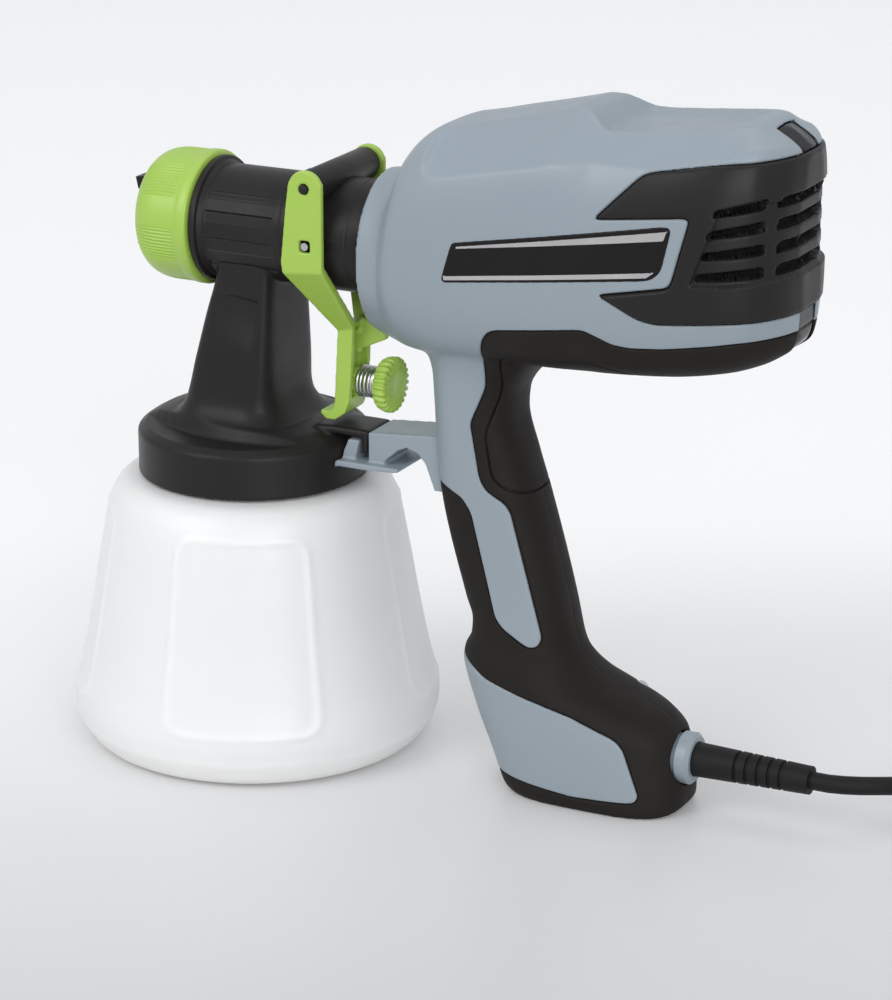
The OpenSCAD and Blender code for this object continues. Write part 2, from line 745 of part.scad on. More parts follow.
// The coil spirals in below and out above, and climbs in the half turn where it reverses
coil_turn = 360 * coil_loops;
function coil_point(t) =
  let (
    r = coil_r - loop_pitch * min(t, coil_turn - t) / 360,
    climb = min(1, max(0, (t - coil_turn / 2 + 90) / 180)),
    z = lead_r + loop_pitch * (3 - 2 * climb) * climb * climb
  ) [coil_x + r * cos(180 - t), coil_y + r * sin(180 - t), z];
coil_path = [for (i = [0:coil_loops * loop_steps]) coil_point(360 * i / loop_steps)];
coil_end = coil_path[len(coil_path) - 1];
lead_in = [coil_x - coil_r, LEAD_ROUTE[len(LEAD_ROUTE) - 1][1], lead_r];
tail_path = [for (i = [0:4]) coil_end + [tail_len * i / 4, 0, 0]];
coil_gap = self_distance(coil_path, loop_steps / 2) - lead_d;
lead_total = path_length(LEAD_ROUTE) + path_length(coil_path) + path_length(tail_path);

module cord() {
  placed() color("#1a1a1a") swept_tube(LEAD_ROUTE, lead_r, 8, [1, 0, 0], [0, 1, 0]);
}
module cord_coil() {
  echo(least_gap_of_the_coil_to_itself = coil_gap, length_of_the_lead = lead_total);
  placed() color("#1a1a1a")
    swept_tube(concat([lead_in], coil_path, [for (i = [1:4]) tail_path[i]]), lead_r, 6, [0, 1, 0], [1, 0, 0]);
}
plug_x = coil_end[0] + tail_len;
plug_z = coil_end[2];
module plug_body() {
  placed() color("#1a1a1a") translate([plug_x, coil_end[1], plug_z]) {
    difference() {
      hull() {
        translate([12, 0, 0]) cube([2, plug_w - 6, plug_h - 5], center = true);
        translate([plug_len - 8, 0, 0]) cube([10, plug_w, plug_h], center = true);
        translate([plug_len - 1, 0, 0]) cube([2, plug_w - 3, plug_h - 3], center = true);
      }
      for (y = [-6.35, 6.35]) translate([plug_len - 8, y, 0]) cube([20, 1.6, 6.4], center = true);
    }
    rotate([0, 90, 0]) cylinder(13, r1 = 5, r2 = 6.6);
  }
}
module plug_pins() {
  placed() color("#c9b37a") translate([plug_x, coil_end[1], plug_z])
    for (y = [-6.35, 6.35]) difference() {
      translate([plug_len + 4, y, 0]) cube([26, 1.5, 6.3], center = true);
      translate([plug_len + 12, y, 0]) rotate([90, 0, 0]) cylinder(4, r = 1.5, center = true);
    }
}

// ---------- paint head ----------

seal_x = 69;
seal_w = 2.6;
module rounded_slab(x0, x1, w, z, t) {
  for (x = [x0 + 3, x1 - 3], y = [-w + 3, w - 3]) translate([x, y, z]) cylinder(t, r = 3, $fn = 16);
}
module pylon() {
  hull() {
    rounded_slab(-7, 17, pylon_top_w, barrel_z - 16, 1);
    rounded_slab(-18.6, 17.4, pylon_foot_w, lid_top + 15, 1);
  }
  hull() {
    rounded_slab(-18.6, 17.4, pylon_foot_w, lid_top + 15, 1);
    rounded_slab(-22, 19, pylon_foot_w + 2, lid_top + 9.6, 1);
  }
  hull() {
    rounded_slab(-22, 19, pylon_foot_w + 2, lid_top + 9.6, 1);
    rounded_slab(-29, 25, pylon_foot_w + 7, lid_top + 5.4, 1);
  }
}
tube_ro = 4;
module lid_outside() {
  rotate_extrude()
    polygon([
      [0, cup_h], [lid_r, cup_h], [lid_r, lid_top - 0.8], [lid_r - 0.8, lid_top + 0.4],
      [lid_r - 4, lid_top + 3], [lid_r - 8, lid_top + 5], [lid_r - 14, lid_top + 6.6],
      [lid_r - 22, lid_top + dome_h], [0, lid_top + dome_h]
    ]);
}
module lug() {
  translate([lid_r - 12, -lug_w, lid_top + dome_h - lug_t - 0.6]) cube([lug_end - clear - lid_r + 12, 2 * lug_w, lug_t]);
  translate([lug_end - 3.4, -lug_w, lid_top - 2.5]) cube([2.6, 2 * lug_w, dome_h + 0.9]);
}
module paint_head() {
  placed() color("#211e1e") {
    difference() {
      union() {
        lying(cap_back, barrel_z) cylinder(pivot_x - cap_back, r = barrel_r);
        lying(cap_back + 0.6, barrel_z) cylinder(4.4, r = flange_r);
        lying(25, barrel_z) cylinder(5.5, r = collar_r);
        lying(30, barrel_z) cylinder(46, r = tube_r);
        lying(cap_back - 10, barrel_z) cylinder(12, r = barrel_r - 1);
        translate([pivot_x, 0, pivot_z]) rotate([90, 0, 0]) cylinder(47, r = 6.2, center = true);
        pylon();
        lid_outside();
        lug();
      }
      // Air way, lid cavity and the slots for the needle's carrier
      lying(cap_back - 11, barrel_z) cylinder(76 - cap_back + 12, r = barrel_r - barrel_wall);
      translate([0, 0, cup_h - 1]) cylinder(lid_h - 2 + 1, r = neck_r + 0.6);
      translate([0, 0, lid_top - 3]) cylinder(dome_h + 1, r = tube_ro);
      translate([0, 0, lid_top]) cylinder(barrel_z - lid_top, r = paint_r);
      translate([-11, 0, lid_top - 4]) cylinder(barrel_z - lid_top - 10, r = 1.4);
      translate([pivot_x, 0, pivot_z]) rotate([90, 0, 0]) cylinder(60, r = pin_r, center = true);
      for (side = [-1, 1])
        translate([pivot_x - 2.2, side * 20 - 5, barrel_z - 2]) cube([9, 10, 4]);
      lying(seal_x, barrel_z) ring(seal_w, tube_r + 2, tube_r - seal_w + 0.6);
      for (side = [-1, 1], a = [-28, -14, 0, 14, 28])
        translate([-8, side * barrel_r * cos(a) - 0.4, barrel_z + barrel_r * sin(a) - 0.4]) cube([30, 0.8, 0.8]);
    }
    // Paint block and riser inside the barrel
    difference() {
      union() {
        lying(cap_back - 4, barrel_z) cylinder(34, r = 6.6);
        translate([0, 0, barrel_z - barrel_r]) cylinder(barrel_r, r = 5.6);
      }
      lying(cap_back - 5, barrel_z) cylinder(36, r = paint_r + 0.4);
      translate([0, 0, barrel_z - barrel_r - 1]) cylinder(barrel_r + 1, r = paint_r);
    }
  }
}
module barrel_seal() {
  placed() color("#111111") lying(seal_x + seal_w / 2, barrel_z) rotate_extrude() translate([tube_r - 1.05, 0]) circle(0.95);
}
module suction_tube() {
  placed() color("white") translate([0, 0, 12]) ring(lid_top + dome_h - 2 - 12, tube_ro, paint_r);
}
module cup_gasket() {
  placed() color("#d8d8d8") translate([0, 0, cup_h + neck_h]) ring(lid_h - 2 - neck_h, neck_r, neck_r - 6);
}

// Cup profile, outside: [radius, height]
CUP = [
  [cup_base_r, 0], [cup_base_r + 5, 1.6], [cup_r - 3.4, 6.4], [cup_r - 0.6, 12], [cup_r, 17.4],
  [cup_r - 0.6, 22], [cup_r - 3.2, 32], [cup_r - 8, 56], [cup_r - 12.6, cup_h - 27],
  [cup_r - 16, cup_h - 11], [cup_r - 19.4, cup_h - 4.6], [cup_r - 24, cup_h - 1.4],
  [neck_r + 2, cup_h - 0.6]
];
function cup_side(z) = lookup(z, [for (p = CUP) [p[1], p[0]]]);

// One of the four side panels' frames: a bead along both sides, the top and the bottom
bead_low = 20.6;
bead_top = cup_h - 10.6;
bead_angle = 53.6;
module bead_frame() {
  levels = [bead_low + 1.2, 32, 56, cup_h - 27, bead_top - 1.2];
  step = 180 * bead_w / PI / 62;
  difference() {
    rotate_extrude(angle = bead_angle)
      polygon(concat(
        [[cup_side(bead_low) - 1, bead_low], [cup_side(bead_low), bead_low]],
        [for (z = levels) [cup_side(z) + bead_h, z]],
        [[cup_side(bead_top), bead_top], [cup_side(bead_top) - 1, bead_top]],
        [for (i = [4:-1:0]) [cup_side(levels[i]) - 1, levels[i]]]
      ));
    rotate([0, 0, step]) rotate_extrude(angle = bead_angle - 2 * step)
      polygon([
        [cup_side(bead_low) - 4, bead_low + bead_w + 1], [cup_r + 4, bead_low + bead_w + 1],
        [cup_side(bead_top) + 4, bead_top - bead_w], [cup_side(bead_top) - 4, bead_top - bead_w]
      ]);
  }
}
module paint_cup() {
  placed() color("ghostwhite") {
    for (i = [0:3]) rotate([0, 0, 90 * i - 92.4]) bead_frame();
    rotate_extrude(convexity = 4)
      difference() {
        polygon(concat([[0, 0]], CUP, [[neck_r, cup_h - 0.6], [neck_r, cup_h + neck_h], [0, cup_h + neck_h]]));
        polygon(concat(
          [[0, cup_wall + 1.4], [cup_base_r - 4, cup_wall + 0.4]],
          [for (p = CUP) if (p[1] > 1 && p[1] < cup_h - 2) [p[0] - cup_wall, p[1] + (p[1] < 12 ? cup_wall : 0)]],
          [[neck_r - cup_wall, cup_h - 1.6], [neck_r - cup_wall, cup_h + neck_h + 1], [0, cup_h + neck_h + 1]]
        ));
      }
  }
}

// ---------- nozzle set ----------

module fluid_nozzle() {
  placed() color("#1d1d1f") lying(cap_front - 0.2, barrel_z) rotate_extrude()
    polygon([
      [tip_r, 0], [tip_r + 1, 0], [4.2, 10], [10, 14], [10, cap_back - 3.8 - cap_front],
      [needle_r + 1.2, cap_back - 3.8 - cap_front], [needle_r + 1.2, 7], [tip_r, 2.5]
    ]);
}
module air_cap() {
  placed() color("#19191a") lying(cap_front, barrel_z) {
    difference() {
      union() {
        translate([0, 0, 3.4]) cylinder(4.6, r = 20);
        translate([0, 0, -0.4]) cylinder(5, r = cap_hole_r - clear);
      }
      translate([0, 0, -1]) cylinder(12, r = 4.9);
      translate([0, 0, 2.4]) cylinder(8, r = 11);
    }
    for (side = [-1, 1])
      translate([side * 11, 0, -horn_h]) rotate([90, 0, 0]) linear_extrude(9, center = true)
        polygon([[-2.4 * side, 1], [2.2 * side, 0], [3.4 * side, horn_h], [-3.4 * side, horn_h]]);
  }
}
module cap_washer() {
  placed() color("#d9d9d9") lying(cap_front + 8 + seat, barrel_z) ring(1, 21, 12);
}
module cap_ring() {
  placed() color("yellowgreen") lying(cap_front, barrel_z) {
    difference() {
      rotate_extrude()
        polygon([
          [cap_hole_r, 0], [17.6, 0], [21.4, 1.6], [24, 4.6], [25.6, 8.6], [cap_r - 0.6, 13],
          [cap_r - 0.6, cap_len - 5], [cap_r, cap_len - 4], [cap_r, cap_len - 0.6], [cap_r - 0.6, cap_len],
          [flange_r - 2.4, cap_len], [flange_r - 2.4, 9.6], [20.6, 3], [cap_hole_r, 3]
        ]);
      for (g = [0:5], i = [-3:3])
        rotate([0, 0, 60 * g + 6 * i]) translate([cap_r + 0.1, 0, 8]) cylinder(cap_len - 13.4, r = 0.9, $fn = 8);
    }
  }
}
needle_tip_x = cap_front + 1.6;
module needle() {
  placed() color("silver") lying(needle_tip_x, barrel_z) {
    cylinder(6, r1 = tip_r - 0.25, r2 = needle_r);
    translate([0, 0, 6]) cylinder(pivot_x - needle_tip_x - 6, r = needle_r);
  }
}
module needle_carrier() {
  placed() color("#8b8f94") {
    lying(pivot_x, barrel_z) difference() {
      union() {
        cylinder(6, r = 8);
        translate([0, 0, -2]) cylinder(2, r = 4);
      }
      translate([0, 0, -3]) cylinder(3, r = needle_r);
    }
    translate([pivot_x, 0, barrel_z]) rotate([90, 0, 0]) difference() {
      cylinder(52, r = carrier_r, center = true);
      cylinder(10, r = 2, center = true);
    }
  }
}
module needle_packing() {
  placed() color("#efe9da") lying(cap_back + 24, barrel_z) ring(6, paint_r + 0.4, needle_r + running);
}
module needle_spring() {
  placed() color("silver") lying(pivot_x + 6.2, barrel_z) ring(18, 5, 3.6);
}

// ---------- trigger ----------

module arm_plate(side) {
  translate([0, side * (23.8 + arm_t / 2), 0]) upright(arm_t) {
    polygon(ARM);
    translate([0.4, 0]) circle(7);
  }
}
module trigger() {
  placed() color("yellowgreen") translate([pivot_x, 0, pivot_z]) difference() {
    union() {
      for (side = [-1, 1]) {
        arm_plate(side);
        hull() {
          translate([0, side * (23.8 + arm_t / 2), 0]) upright(arm_t)
            polygon([[-9.9, -31], [7.4, -29.6], [7.4, -31.4], [-9.6, -33]]);
          translate([0, side * (leg_w - arm_t / 2), 0]) upright(arm_t)
            polygon([[3.9, -56.4], [10.7, -54.6], [10.6, -57], [3.8, -58.4]]);
        }
      }
      difference() {
        upright(2 * leg_w) polygon(LEG);
        upright(2 * leg_w - 2 * arm_t) polygon(LEG_POCKET);
      }
      translate([4, -leg_w + 1, -60]) cube([6, 2 * leg_w - 2, 2]);
      upright(tab_t) polygon(TAB);
      translate([3.4, -tab_t / 2, -68]) cube([6.4, tab_t, 11]);
      lying(3, -knob_drop) cylinder(6.4, r = 5.2);
    }
    rotate([90, 0, 0]) cylinder(80, r = pin_r + running, center = true);
    translate([0, 0, -pivot_up]) cube([square_hole, 80, square_hole], center = true);
    lying(0, -knob_drop) cylinder(12, r = 2.5 + running);
    for (i = [0:3]) translate([6.4, 0, -62.5 - 5.4 * i - (i > 1 ? 9 : 0)]) cube([2, 2 * leg_w - 2 * arm_t, 1], center = true);
  }
}
module trigger_pin() {
  placed() color("#2a2a2a") translate([pivot_x, 0, pivot_z]) rotate([90, 0, 0]) {
    cylinder(2 * (23.8 + arm_t), r = pin_r, center = true);
    for (side = [-1, 1]) translate([0, 0, side * (23.8 + arm_t + 0.5)]) cylinder(1, r = 2.8, center = true);
  }
}

// Flow knob, its washer and the spring between the washer and the trigger's leg
leg_back = pivot_x + 9.4;
washer_x = leg_back + 8.4;
module knob_washer() { placed() color("silver") lying(washer_x, knob_z) ring(0.8, 7, 2.5 + running); }
module flow_knob() {
  placed() color("yellowgreen") lying(leg_back - 6, knob_z) difference() {
    union() {
      cylinder(washer_x - leg_back + 7, r = 2.5);
      translate([0, 0, washer_x - leg_back + 6.8 + seat]) {
        cylinder(knob_t - 1, r1 = knob_r - 2, r2 = knob_r);
        translate([0, 0, knob_t - 1]) cylinder(1.2, r1 = knob_r, r2 = knob_r - 1.2);
      }
    }
    for (i = [0:knob_flutes - 1])
      rotate([0, 0, 360 * i / knob_flutes]) translate([knob_r + 0.5, 0, washer_x - leg_back + 5])
        cylinder(20, r = 1.2, $fn = 12);
  }
}
spring_r = 5.8;
spring_rise = washer_x - leg_back - spring_wire - 0.3;
function knob_spring_point(t) = [
  leg_back + spring_wire / 2 + 0.15 + spring_rise * t, spring_r * sin(360 * spring_turns * t),
  knob_z + spring_r * cos(360 * spring_turns * t)
];
knob_spring_path = [for (i = [0:8 * spring_turns]) knob_spring_point(i / 8 / spring_turns)];
knob_spring_gap = spring_rise / spring_turns - spring_wire;
module knob_spring() {
  echo(least_gap_of_the_knob_spring_to_itself = knob_spring_gap);
  placed() color("silver") loft([
    for (i = [0:len(knob_spring_path) - 1])
      let (
        c = knob_spring_path[i],
        out = unit([0, c[1], c[2] - knob_z]),
        t = unit(cross([1, 0, 0], out) * 6.2832 * spring_r * spring_turns + [spring_rise, 0, 0]),
        side = cross(t, out)
      )
      [for (j = [0:5]) c + spring_wire / 2 * (cos(60 * j) * out + sin(60 * j) * side)]
  ], true);
}

housing_left();
housing_right();
grip_left();
grip_right();
grip_pad();
base_panel_left();
base_panel_right();
rear_grille();
rear_spine();
housing_screws();
air_filter();
air_duct();
fan_drum();
fan_drum_ring();
fan_wheel();
motor_shaft();
armature();
motor_can();
motor_end_cap();
front_bearing();
rear_bearing();
carbon_brushes();
motor_mount_ring();
switch_body();
switch_rod();
terminal_block();
cord_clamp();
paint_head();
barrel_seal();
suction_tube();
cup_gasket();
paint_cup();
fluid_nozzle();
air_cap();
cap_washer();
cap_ring();
needle();
needle_carrier();
needle_packing();
needle_spring();
trigger();
trigger_pin();
knob_washer();
knob_spring();
flow_knob();
cord_gland();
strain_relief();
cord();
cord_coil();
plug_body();
plug_pins();
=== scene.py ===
import bpy
import bmesh
import json
import math
import numpy as np
from mathutils import Matrix, Vector


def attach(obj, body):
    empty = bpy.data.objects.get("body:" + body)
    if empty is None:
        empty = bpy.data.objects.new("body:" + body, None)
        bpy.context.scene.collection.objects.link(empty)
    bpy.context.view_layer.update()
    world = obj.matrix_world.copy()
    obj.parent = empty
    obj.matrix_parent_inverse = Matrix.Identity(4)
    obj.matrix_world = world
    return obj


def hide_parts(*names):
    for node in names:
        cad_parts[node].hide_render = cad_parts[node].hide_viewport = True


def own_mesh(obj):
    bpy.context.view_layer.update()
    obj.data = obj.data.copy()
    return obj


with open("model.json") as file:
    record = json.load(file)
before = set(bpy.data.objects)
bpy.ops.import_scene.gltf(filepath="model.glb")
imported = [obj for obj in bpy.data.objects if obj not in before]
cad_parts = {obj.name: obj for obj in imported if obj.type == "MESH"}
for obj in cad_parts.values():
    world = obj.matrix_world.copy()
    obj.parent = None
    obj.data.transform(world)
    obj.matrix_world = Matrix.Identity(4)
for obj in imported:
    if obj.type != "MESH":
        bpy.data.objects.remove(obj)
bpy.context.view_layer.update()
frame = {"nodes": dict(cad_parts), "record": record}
nodes = frame["nodes"]

# Lengths are in mm from the cup's axis unless a comment says metres
OX = -0.08175  # from the cup's axis to the part's origin, in metres
BARREL_Z = 207.5
PIVOT_X, PIVOT_Z = 38, 229.5
KNOB_Z = 150.3
GLAND_Z = 20.5
LID_TOP = 126.5
PIN_END = 26.3  # outside of the trigger's arms, from the middle plane
CAP_FRONT = -40

# The camera that the photograph was fitted with
AZIMUTH, ELEVATION = 26.8, 18.5
FOCAL_PX, PICTURE_PX, SENSOR_MM = 3596, 1000, 36
CAMERA_AT = (0.671, -1.162, 0.543)  # in metres from the cup's axis


def P(x, y, z):
    """A point given in mm from the cup's axis, in the part's frame."""
    return Vector((x / 1000 + OX, y / 1000, z / 1000))


# ---------------------------------------------------------------- camera
def make_camera():
    az, el = math.radians(AZIMUTH), math.radians(ELEVATION)
    back = Vector((math.sin(az) * math.cos(el), -math.cos(az) * math.cos(el), math.sin(el)))
    right = Vector((math.cos(az), math.sin(az), 0))
    up = back.cross(right)
    cam = bpy.data.cameras.new("camera")
    cam.sensor_width = SENSOR_MM
    cam.lens = FOCAL_PX / PICTURE_PX * SENSOR_MM
    cam.clip_start = 0.05
    cam.clip_end = 20
    obj = bpy.data.objects.new("camera", cam)
    m = Matrix((right, up, back)).transposed().to_4x4()
    m.translation = Vector(CAMERA_AT) + Vector((OX, 0, 0))
    obj.matrix_world = m
    bpy.context.scene.collection.objects.link(obj)
    bpy.context.scene.camera = obj


make_camera()


# ---------------------------------------------------------------- node helpers
class Shader:
    """A material with its node tree, and short ways to build on it."""

    def __init__(self, name):
        self.material = bpy.data.materials.new(name)
        self.material.use_nodes = True
        self.tree = self.material.node_tree
        self.main = self.tree.nodes["Principled BSDF"]
        self.coord = self.tree.nodes.new("ShaderNodeTexCoord")

    def node(self, kind, **inputs):
        n = self.tree.nodes.new(kind)
        for k, v in inputs.items():
            n.inputs[k].default_value = v
        return n

    def link(self, a, b):
        self.tree.links.new(a, b)

    def noise(self, scale, detail=3.0, rough=0.5, stretch=None):
        n = self.node("ShaderNodeTexNoise", Scale=scale, Detail=detail, Roughness=rough)
        if stretch:
            mapping = self.node("ShaderNodeMapping")
            mapping.inputs["Scale"].default_value = stretch
            self.link(self.coord.outputs["Object"], mapping.inputs["Vector"])
            self.link(mapping.outputs["Vector"], n.inputs["Vector"])
        else:
            self.link(self.coord.outputs["Object"], n.inputs["Vector"])
        return n.outputs["Fac"]

    def ramp(self, fac, stops):
        r = self.tree.nodes.new("ShaderNodeValToRGB")
        while len(r.color_ramp.elements) < len(stops):
            r.color_ramp.elements.new(0.5)
        for element, (place, colour) in zip(r.color_ramp.elements, stops):
            element.position = place
            element.color = (*colour, 1)
        self.link(fac, r.inputs["Fac"])
        return r.outputs["Color"]

    def span(self, fac, lo, hi, a=0.3, b=0.7):
        r = self.node("ShaderNodeMapRange", **{"From Min": a, "From Max": b, "To Min": lo, "To Max": hi})
        self.link(fac, r.inputs["Value"])
        return r.outputs["Result"]

    def along(self, axis, a, b):
        s = self.node("ShaderNodeSeparateXYZ")
        self.link(self.coord.outputs["Object"], s.inputs["Vector"])
        return self.span(s.outputs[axis], 0, 1, a, b)

    def bump(self, height, strength, distance, onto=None):
        n = self.node("ShaderNodeBump", Strength=strength, Distance=distance)
        self.link(height, n.inputs["Height"])
        if onto:
            self.link(onto, n.inputs["Normal"])
        return n.outputs["Normal"]

    def normal(self, out):
        self.link(out, self.main.inputs["Normal"])


def plastic(name, colour, rough, grain=1400.0, grain_h=0.00003, strength=0.25, vary=0.05, spec=0.5):
    """A moulded surface: mottled colour and roughness, fine grain over a slow wave."""
    m = Shader(name)
    lo = tuple(c * (1 - vary) for c in colour)
    hi = tuple(min(1, c * (1 + vary)) for c in colour)
    m.link(m.ramp(m.noise(14, 4), [(0.3, lo), (0.7, hi)]), m.main.inputs["Base Color"])
    m.link(m.span(m.noise(60, 5, 0.65), rough - 0.05, rough + 0.06), m.main.inputs["Roughness"])
    fine = m.bump(m.noise(grain, 2, 0.5), strength, grain_h)
    wave = m.bump(m.noise(22, 2), 0.12, 0.0004, fine)
    m.normal(wave)
    m.main.inputs["Specular IOR Level"].default_value = spec
    return m.material


def metal(name, colour, rough, scale=900.0, stretch=(1, 12, 12)):
    """Drawn or turned metal with brushed grain."""
    m = Shader(name)
    lo = tuple(c * 0.85 for c in colour)
    m.link(m.ramp(m.noise(40, 4), [(0.3, lo), (0.7, colour)]), m.main.inputs["Base Color"])
    m.link(m.span(m.noise(90, 5), rough - 0.06, rough + 0.1), m.main.inputs["Roughness"])
    m.main.inputs["Metallic"].default_value = 1
    m.normal(m.bump(m.noise(scale, 2, 0.5, stretch), 0.2, 0.00003))
    return m.material


def milky(name):
    """The cup's translucent plastic."""
    m = Shader(name)
    cloudy = m.ramp(m.noise(9, 4), [(0.3, (0.905, 0.897, 0.88)), (0.7, (0.935, 0.927, 0.91))])
    m.link(cloudy, m.main.inputs["Base Color"])
    m.link(m.span(m.noise(70, 4), 0.34, 0.46), m.main.inputs["Roughness"])
    m.main.inputs["Subsurface Weight"].default_value = 0.45
    m.main.inputs["Subsurface Radius"].default_value = (1.0, 0.95, 0.9)
    m.main.inputs["Subsurface Scale"].default_value = 0.008
    m.main.inputs["Transmission Weight"].default_value = 0.0
    fine = m.bump(m.noise(900, 2), 0.12, 0.00003)
    m.normal(m.bump(m.noise(16, 2), 0.15, 0.0006, fine))
    return m.material


BLUE = plastic("shell_blue", (0.262, 0.308, 0.345), 0.4, 2600, 0.00002, 0.2, 0.02)
GRIP = plastic("soft_grip", (0.014, 0.0118, 0.0102), 0.6, 1700, 0.00006, 0.5, 0.12, 0.16)
BLACK = plastic("black_plastic", (0.0165, 0.0148, 0.0145), 0.4, 1900, 0.00004, 0.35, 0.12, 0.2)
GLOSS = plastic("gloss_black", (0.006, 0.006, 0.0065), 0.2, 300, 0.00001, 0.1, 0.1, 0.3)
LIME = plastic("lime", (0.34, 0.52, 0.08), 0.36, 2400, 0.00002, 0.2, 0.03)
CUP = milky("cup_white")
STEEL = metal("steel", (0.62, 0.62, 0.63), 0.28)
WHITE = plastic("white_plastic", (0.78, 0.77, 0.73), 0.45, 1500)
GREY = plastic("grey_plastic", (0.06, 0.065, 0.07), 0.5, 1500)
RUBBER = plastic("black_rubber", (0.01, 0.0095, 0.0092), 0.55, 1500, 0.00005, 0.4, 0.12, 0.2)
COPPER = metal("winding", (0.62, 0.30, 0.14), 0.35)
BRASS = metal("plug_brass", (0.72, 0.58, 0.32), 0.25)
PLATE = plastic("plate_black", (0.009, 0.0078, 0.0078), 0.3, 300, 0.00001, 0.1, 0.1, 0.18)
STRIPE = metal("bright_stripe", (0.62, 0.6, 0.6), 0.3)
FOAM = plastic("foam", (0.008, 0.008, 0.008), 0.95, 700, 0.0002, 0.4, 0.3, 0.1)

by_slot = {
    "shell_blue": BLUE, "soft_grip": GRIP, "black_plastic": BLACK, "gloss_black": GLOSS, "lime": LIME,
    "cup_white": CUP, "steel": STEEL, "white_plastic": WHITE, "grey_plastic": GREY, "black_rubber": RUBBER,
    "winding": COPPER, "plug_brass": BRASS, "foam": FOAM,
}
for subpart in frame["record"]["subparts"]:
    node_mesh = nodes[subpart["node"]].data
    node_mesh.materials.clear()
    node_mesh.materials.append(by_slot[subpart["material_slot"]])


def smooth(o, angle=32):
    """Shades a piece smooth, except across edges sharper than the angle in degrees."""
    me = o.data
    me.polygons.foreach_set("use_smooth", [True] * len(me.polygons))
    me.set_sharp_from_angle(angle=math.radians(angle))


for o in nodes.values():
    smooth(o)

# ---------------------------------------------------------------- the free lead
LEAD_ROUTE = [
    (236, 0, 20.5), (243, 0, 20.5), (249, 1.4, 20.5), (254, 3.8, 20.3), (258.5, 7, 19.9), (262.5, 11.2, 19.1),
    (265.5, 16, 17.9), (267.8, 21.5, 16.2), (269.2, 27.5, 14.2), (269.8, 34, 11.9), (270, 41, 9.5), (270, 49, 7.2),
    (270, 58, 5.2), (270, 67, 4), (270, 75, 3.6), (270, 82, 3.5),
]
LOOPS, COIL_R, PITCH, LEAD_R = 7.25, 49, 7.6, 3.5
COIL_X, COIL_Y, TAIL = 270 + COIL_R, 90, 26  # TAIL leads straight into the plug


def coil_points(step=15):
    """The neat coil: it winds in below, crosses over and winds out above."""
    turn = 360 * LOOPS
    out = []
    for k in range(int(turn / step) + 1):
        t = k * step
        r = COIL_R - PITCH * min(t, turn - t) / 360
        c = min(1, max(0, (t - turn / 2 + 90) / 180))
        z = LEAD_R + PITCH * (3 - 2 * c) * c * c
        a = math.radians(180 - t)
        out.append((COIL_X + r * math.cos(a), COIL_Y + r * math.sin(a), z))
    e = out[-1]
    return out + [(e[0] + TAIL * i / 4, e[1], e[2]) for i in range(1, 5)]


def make_cord():
    route = [P(*p) for p in LEAD_ROUTE] + [P(*p) for p in coil_points()]
    curve = bpy.data.curves.new("mains_lead", "CURVE")
    curve.dimensions = "3D"
    spline = curve.splines.new("POLY")
    spline.points.add(len(route) - 1)
    for knot, p in zip(spline.points, route):
        knot.co = (*p, 1)
    curve.bevel_depth = LEAD_R / 1000
    curve.bevel_resolution = 5
    curve.use_fill_caps = True
    o = bpy.data.objects.new("mains_lead", curve)
    bpy.context.scene.collection.objects.link(o)
    curve.materials.append(RUBBER)
    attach(o, "housing")
    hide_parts("cord", "cord_coil")


make_cord()



# ---------------------------------------------------------------- curves, rings and fields
def pchip(x, y, xi):
    """Smooth interpolation through stations that never swings past them."""
    x, y, xi = (np.asarray(a, float) for a in (x, y, xi))
    h = np.diff(x)
    d = np.diff(y) / h
    m = np.zeros(len(x))
    for i in range(1, len(x) - 1):
        if d[i - 1] * d[i] > 0:
            a, b = 2 * h[i] + h[i - 1], h[i] + 2 * h[i - 1]
            m[i] = (a + b) / (a / d[i - 1] + b / d[i])
    m[0], m[-1] = d[0], d[-1]
    k = np.clip(np.searchsorted(x, xi) - 1, 0, len(h) - 1)
    t = (xi - x[k]) / h[k]
    return ((2 * t ** 3 - 3 * t ** 2 + 1) * y[k] + (t ** 3 - 2 * t ** 2 + t) * h[k] * m[k]
            + (3 * t ** 2 - 2 * t ** 3) * y[k + 1] + (t ** 3 - t ** 2) * h[k] * m[k + 1])


def squircle(a, b, p, q, n):
    """A rounded rectangle, squareness p above and q below, its points evenly spaced in each quarter."""
    out = []
    for quarter in range(4):
        t = np.linspace(0, math.pi / 2, 200) + quarter * math.pi / 2
        e = 2 / (p if quarter < 2 else q)
        u = a * np.sign(np.cos(t)) * np.abs(np.cos(t)) ** e
        v = b * np.sign(np.sin(t)) * np.abs(np.sin(t)) ** e
        s = np.concatenate([[0], np.cumsum(np.hypot(np.diff(u), np.diff(v)))])
        w = np.linspace(0, s[-1], n // 4 + 1)[:-1]
        out.append(np.stack([np.interp(w, s, u), np.interp(w, s, v)], 1))
    return np.concatenate(out)


def loft_mesh(rings):
    """Vertices and faces of a closed loft through rings with equal counts."""
    m, n = len(rings), len(rings[0])
    co = np.concatenate(rings)
    faces = []
    for i in range(m - 1):
        for k in range(n):
            a, b = i * n + k, i * n + (k + 1) % n
            faces.append((a, b, b + n, a + n))
    faces.append(tuple(range(n - 1, -1, -1)))
    faces.append(tuple((m - 1) * n + k for k in range(n)))
    return co, faces


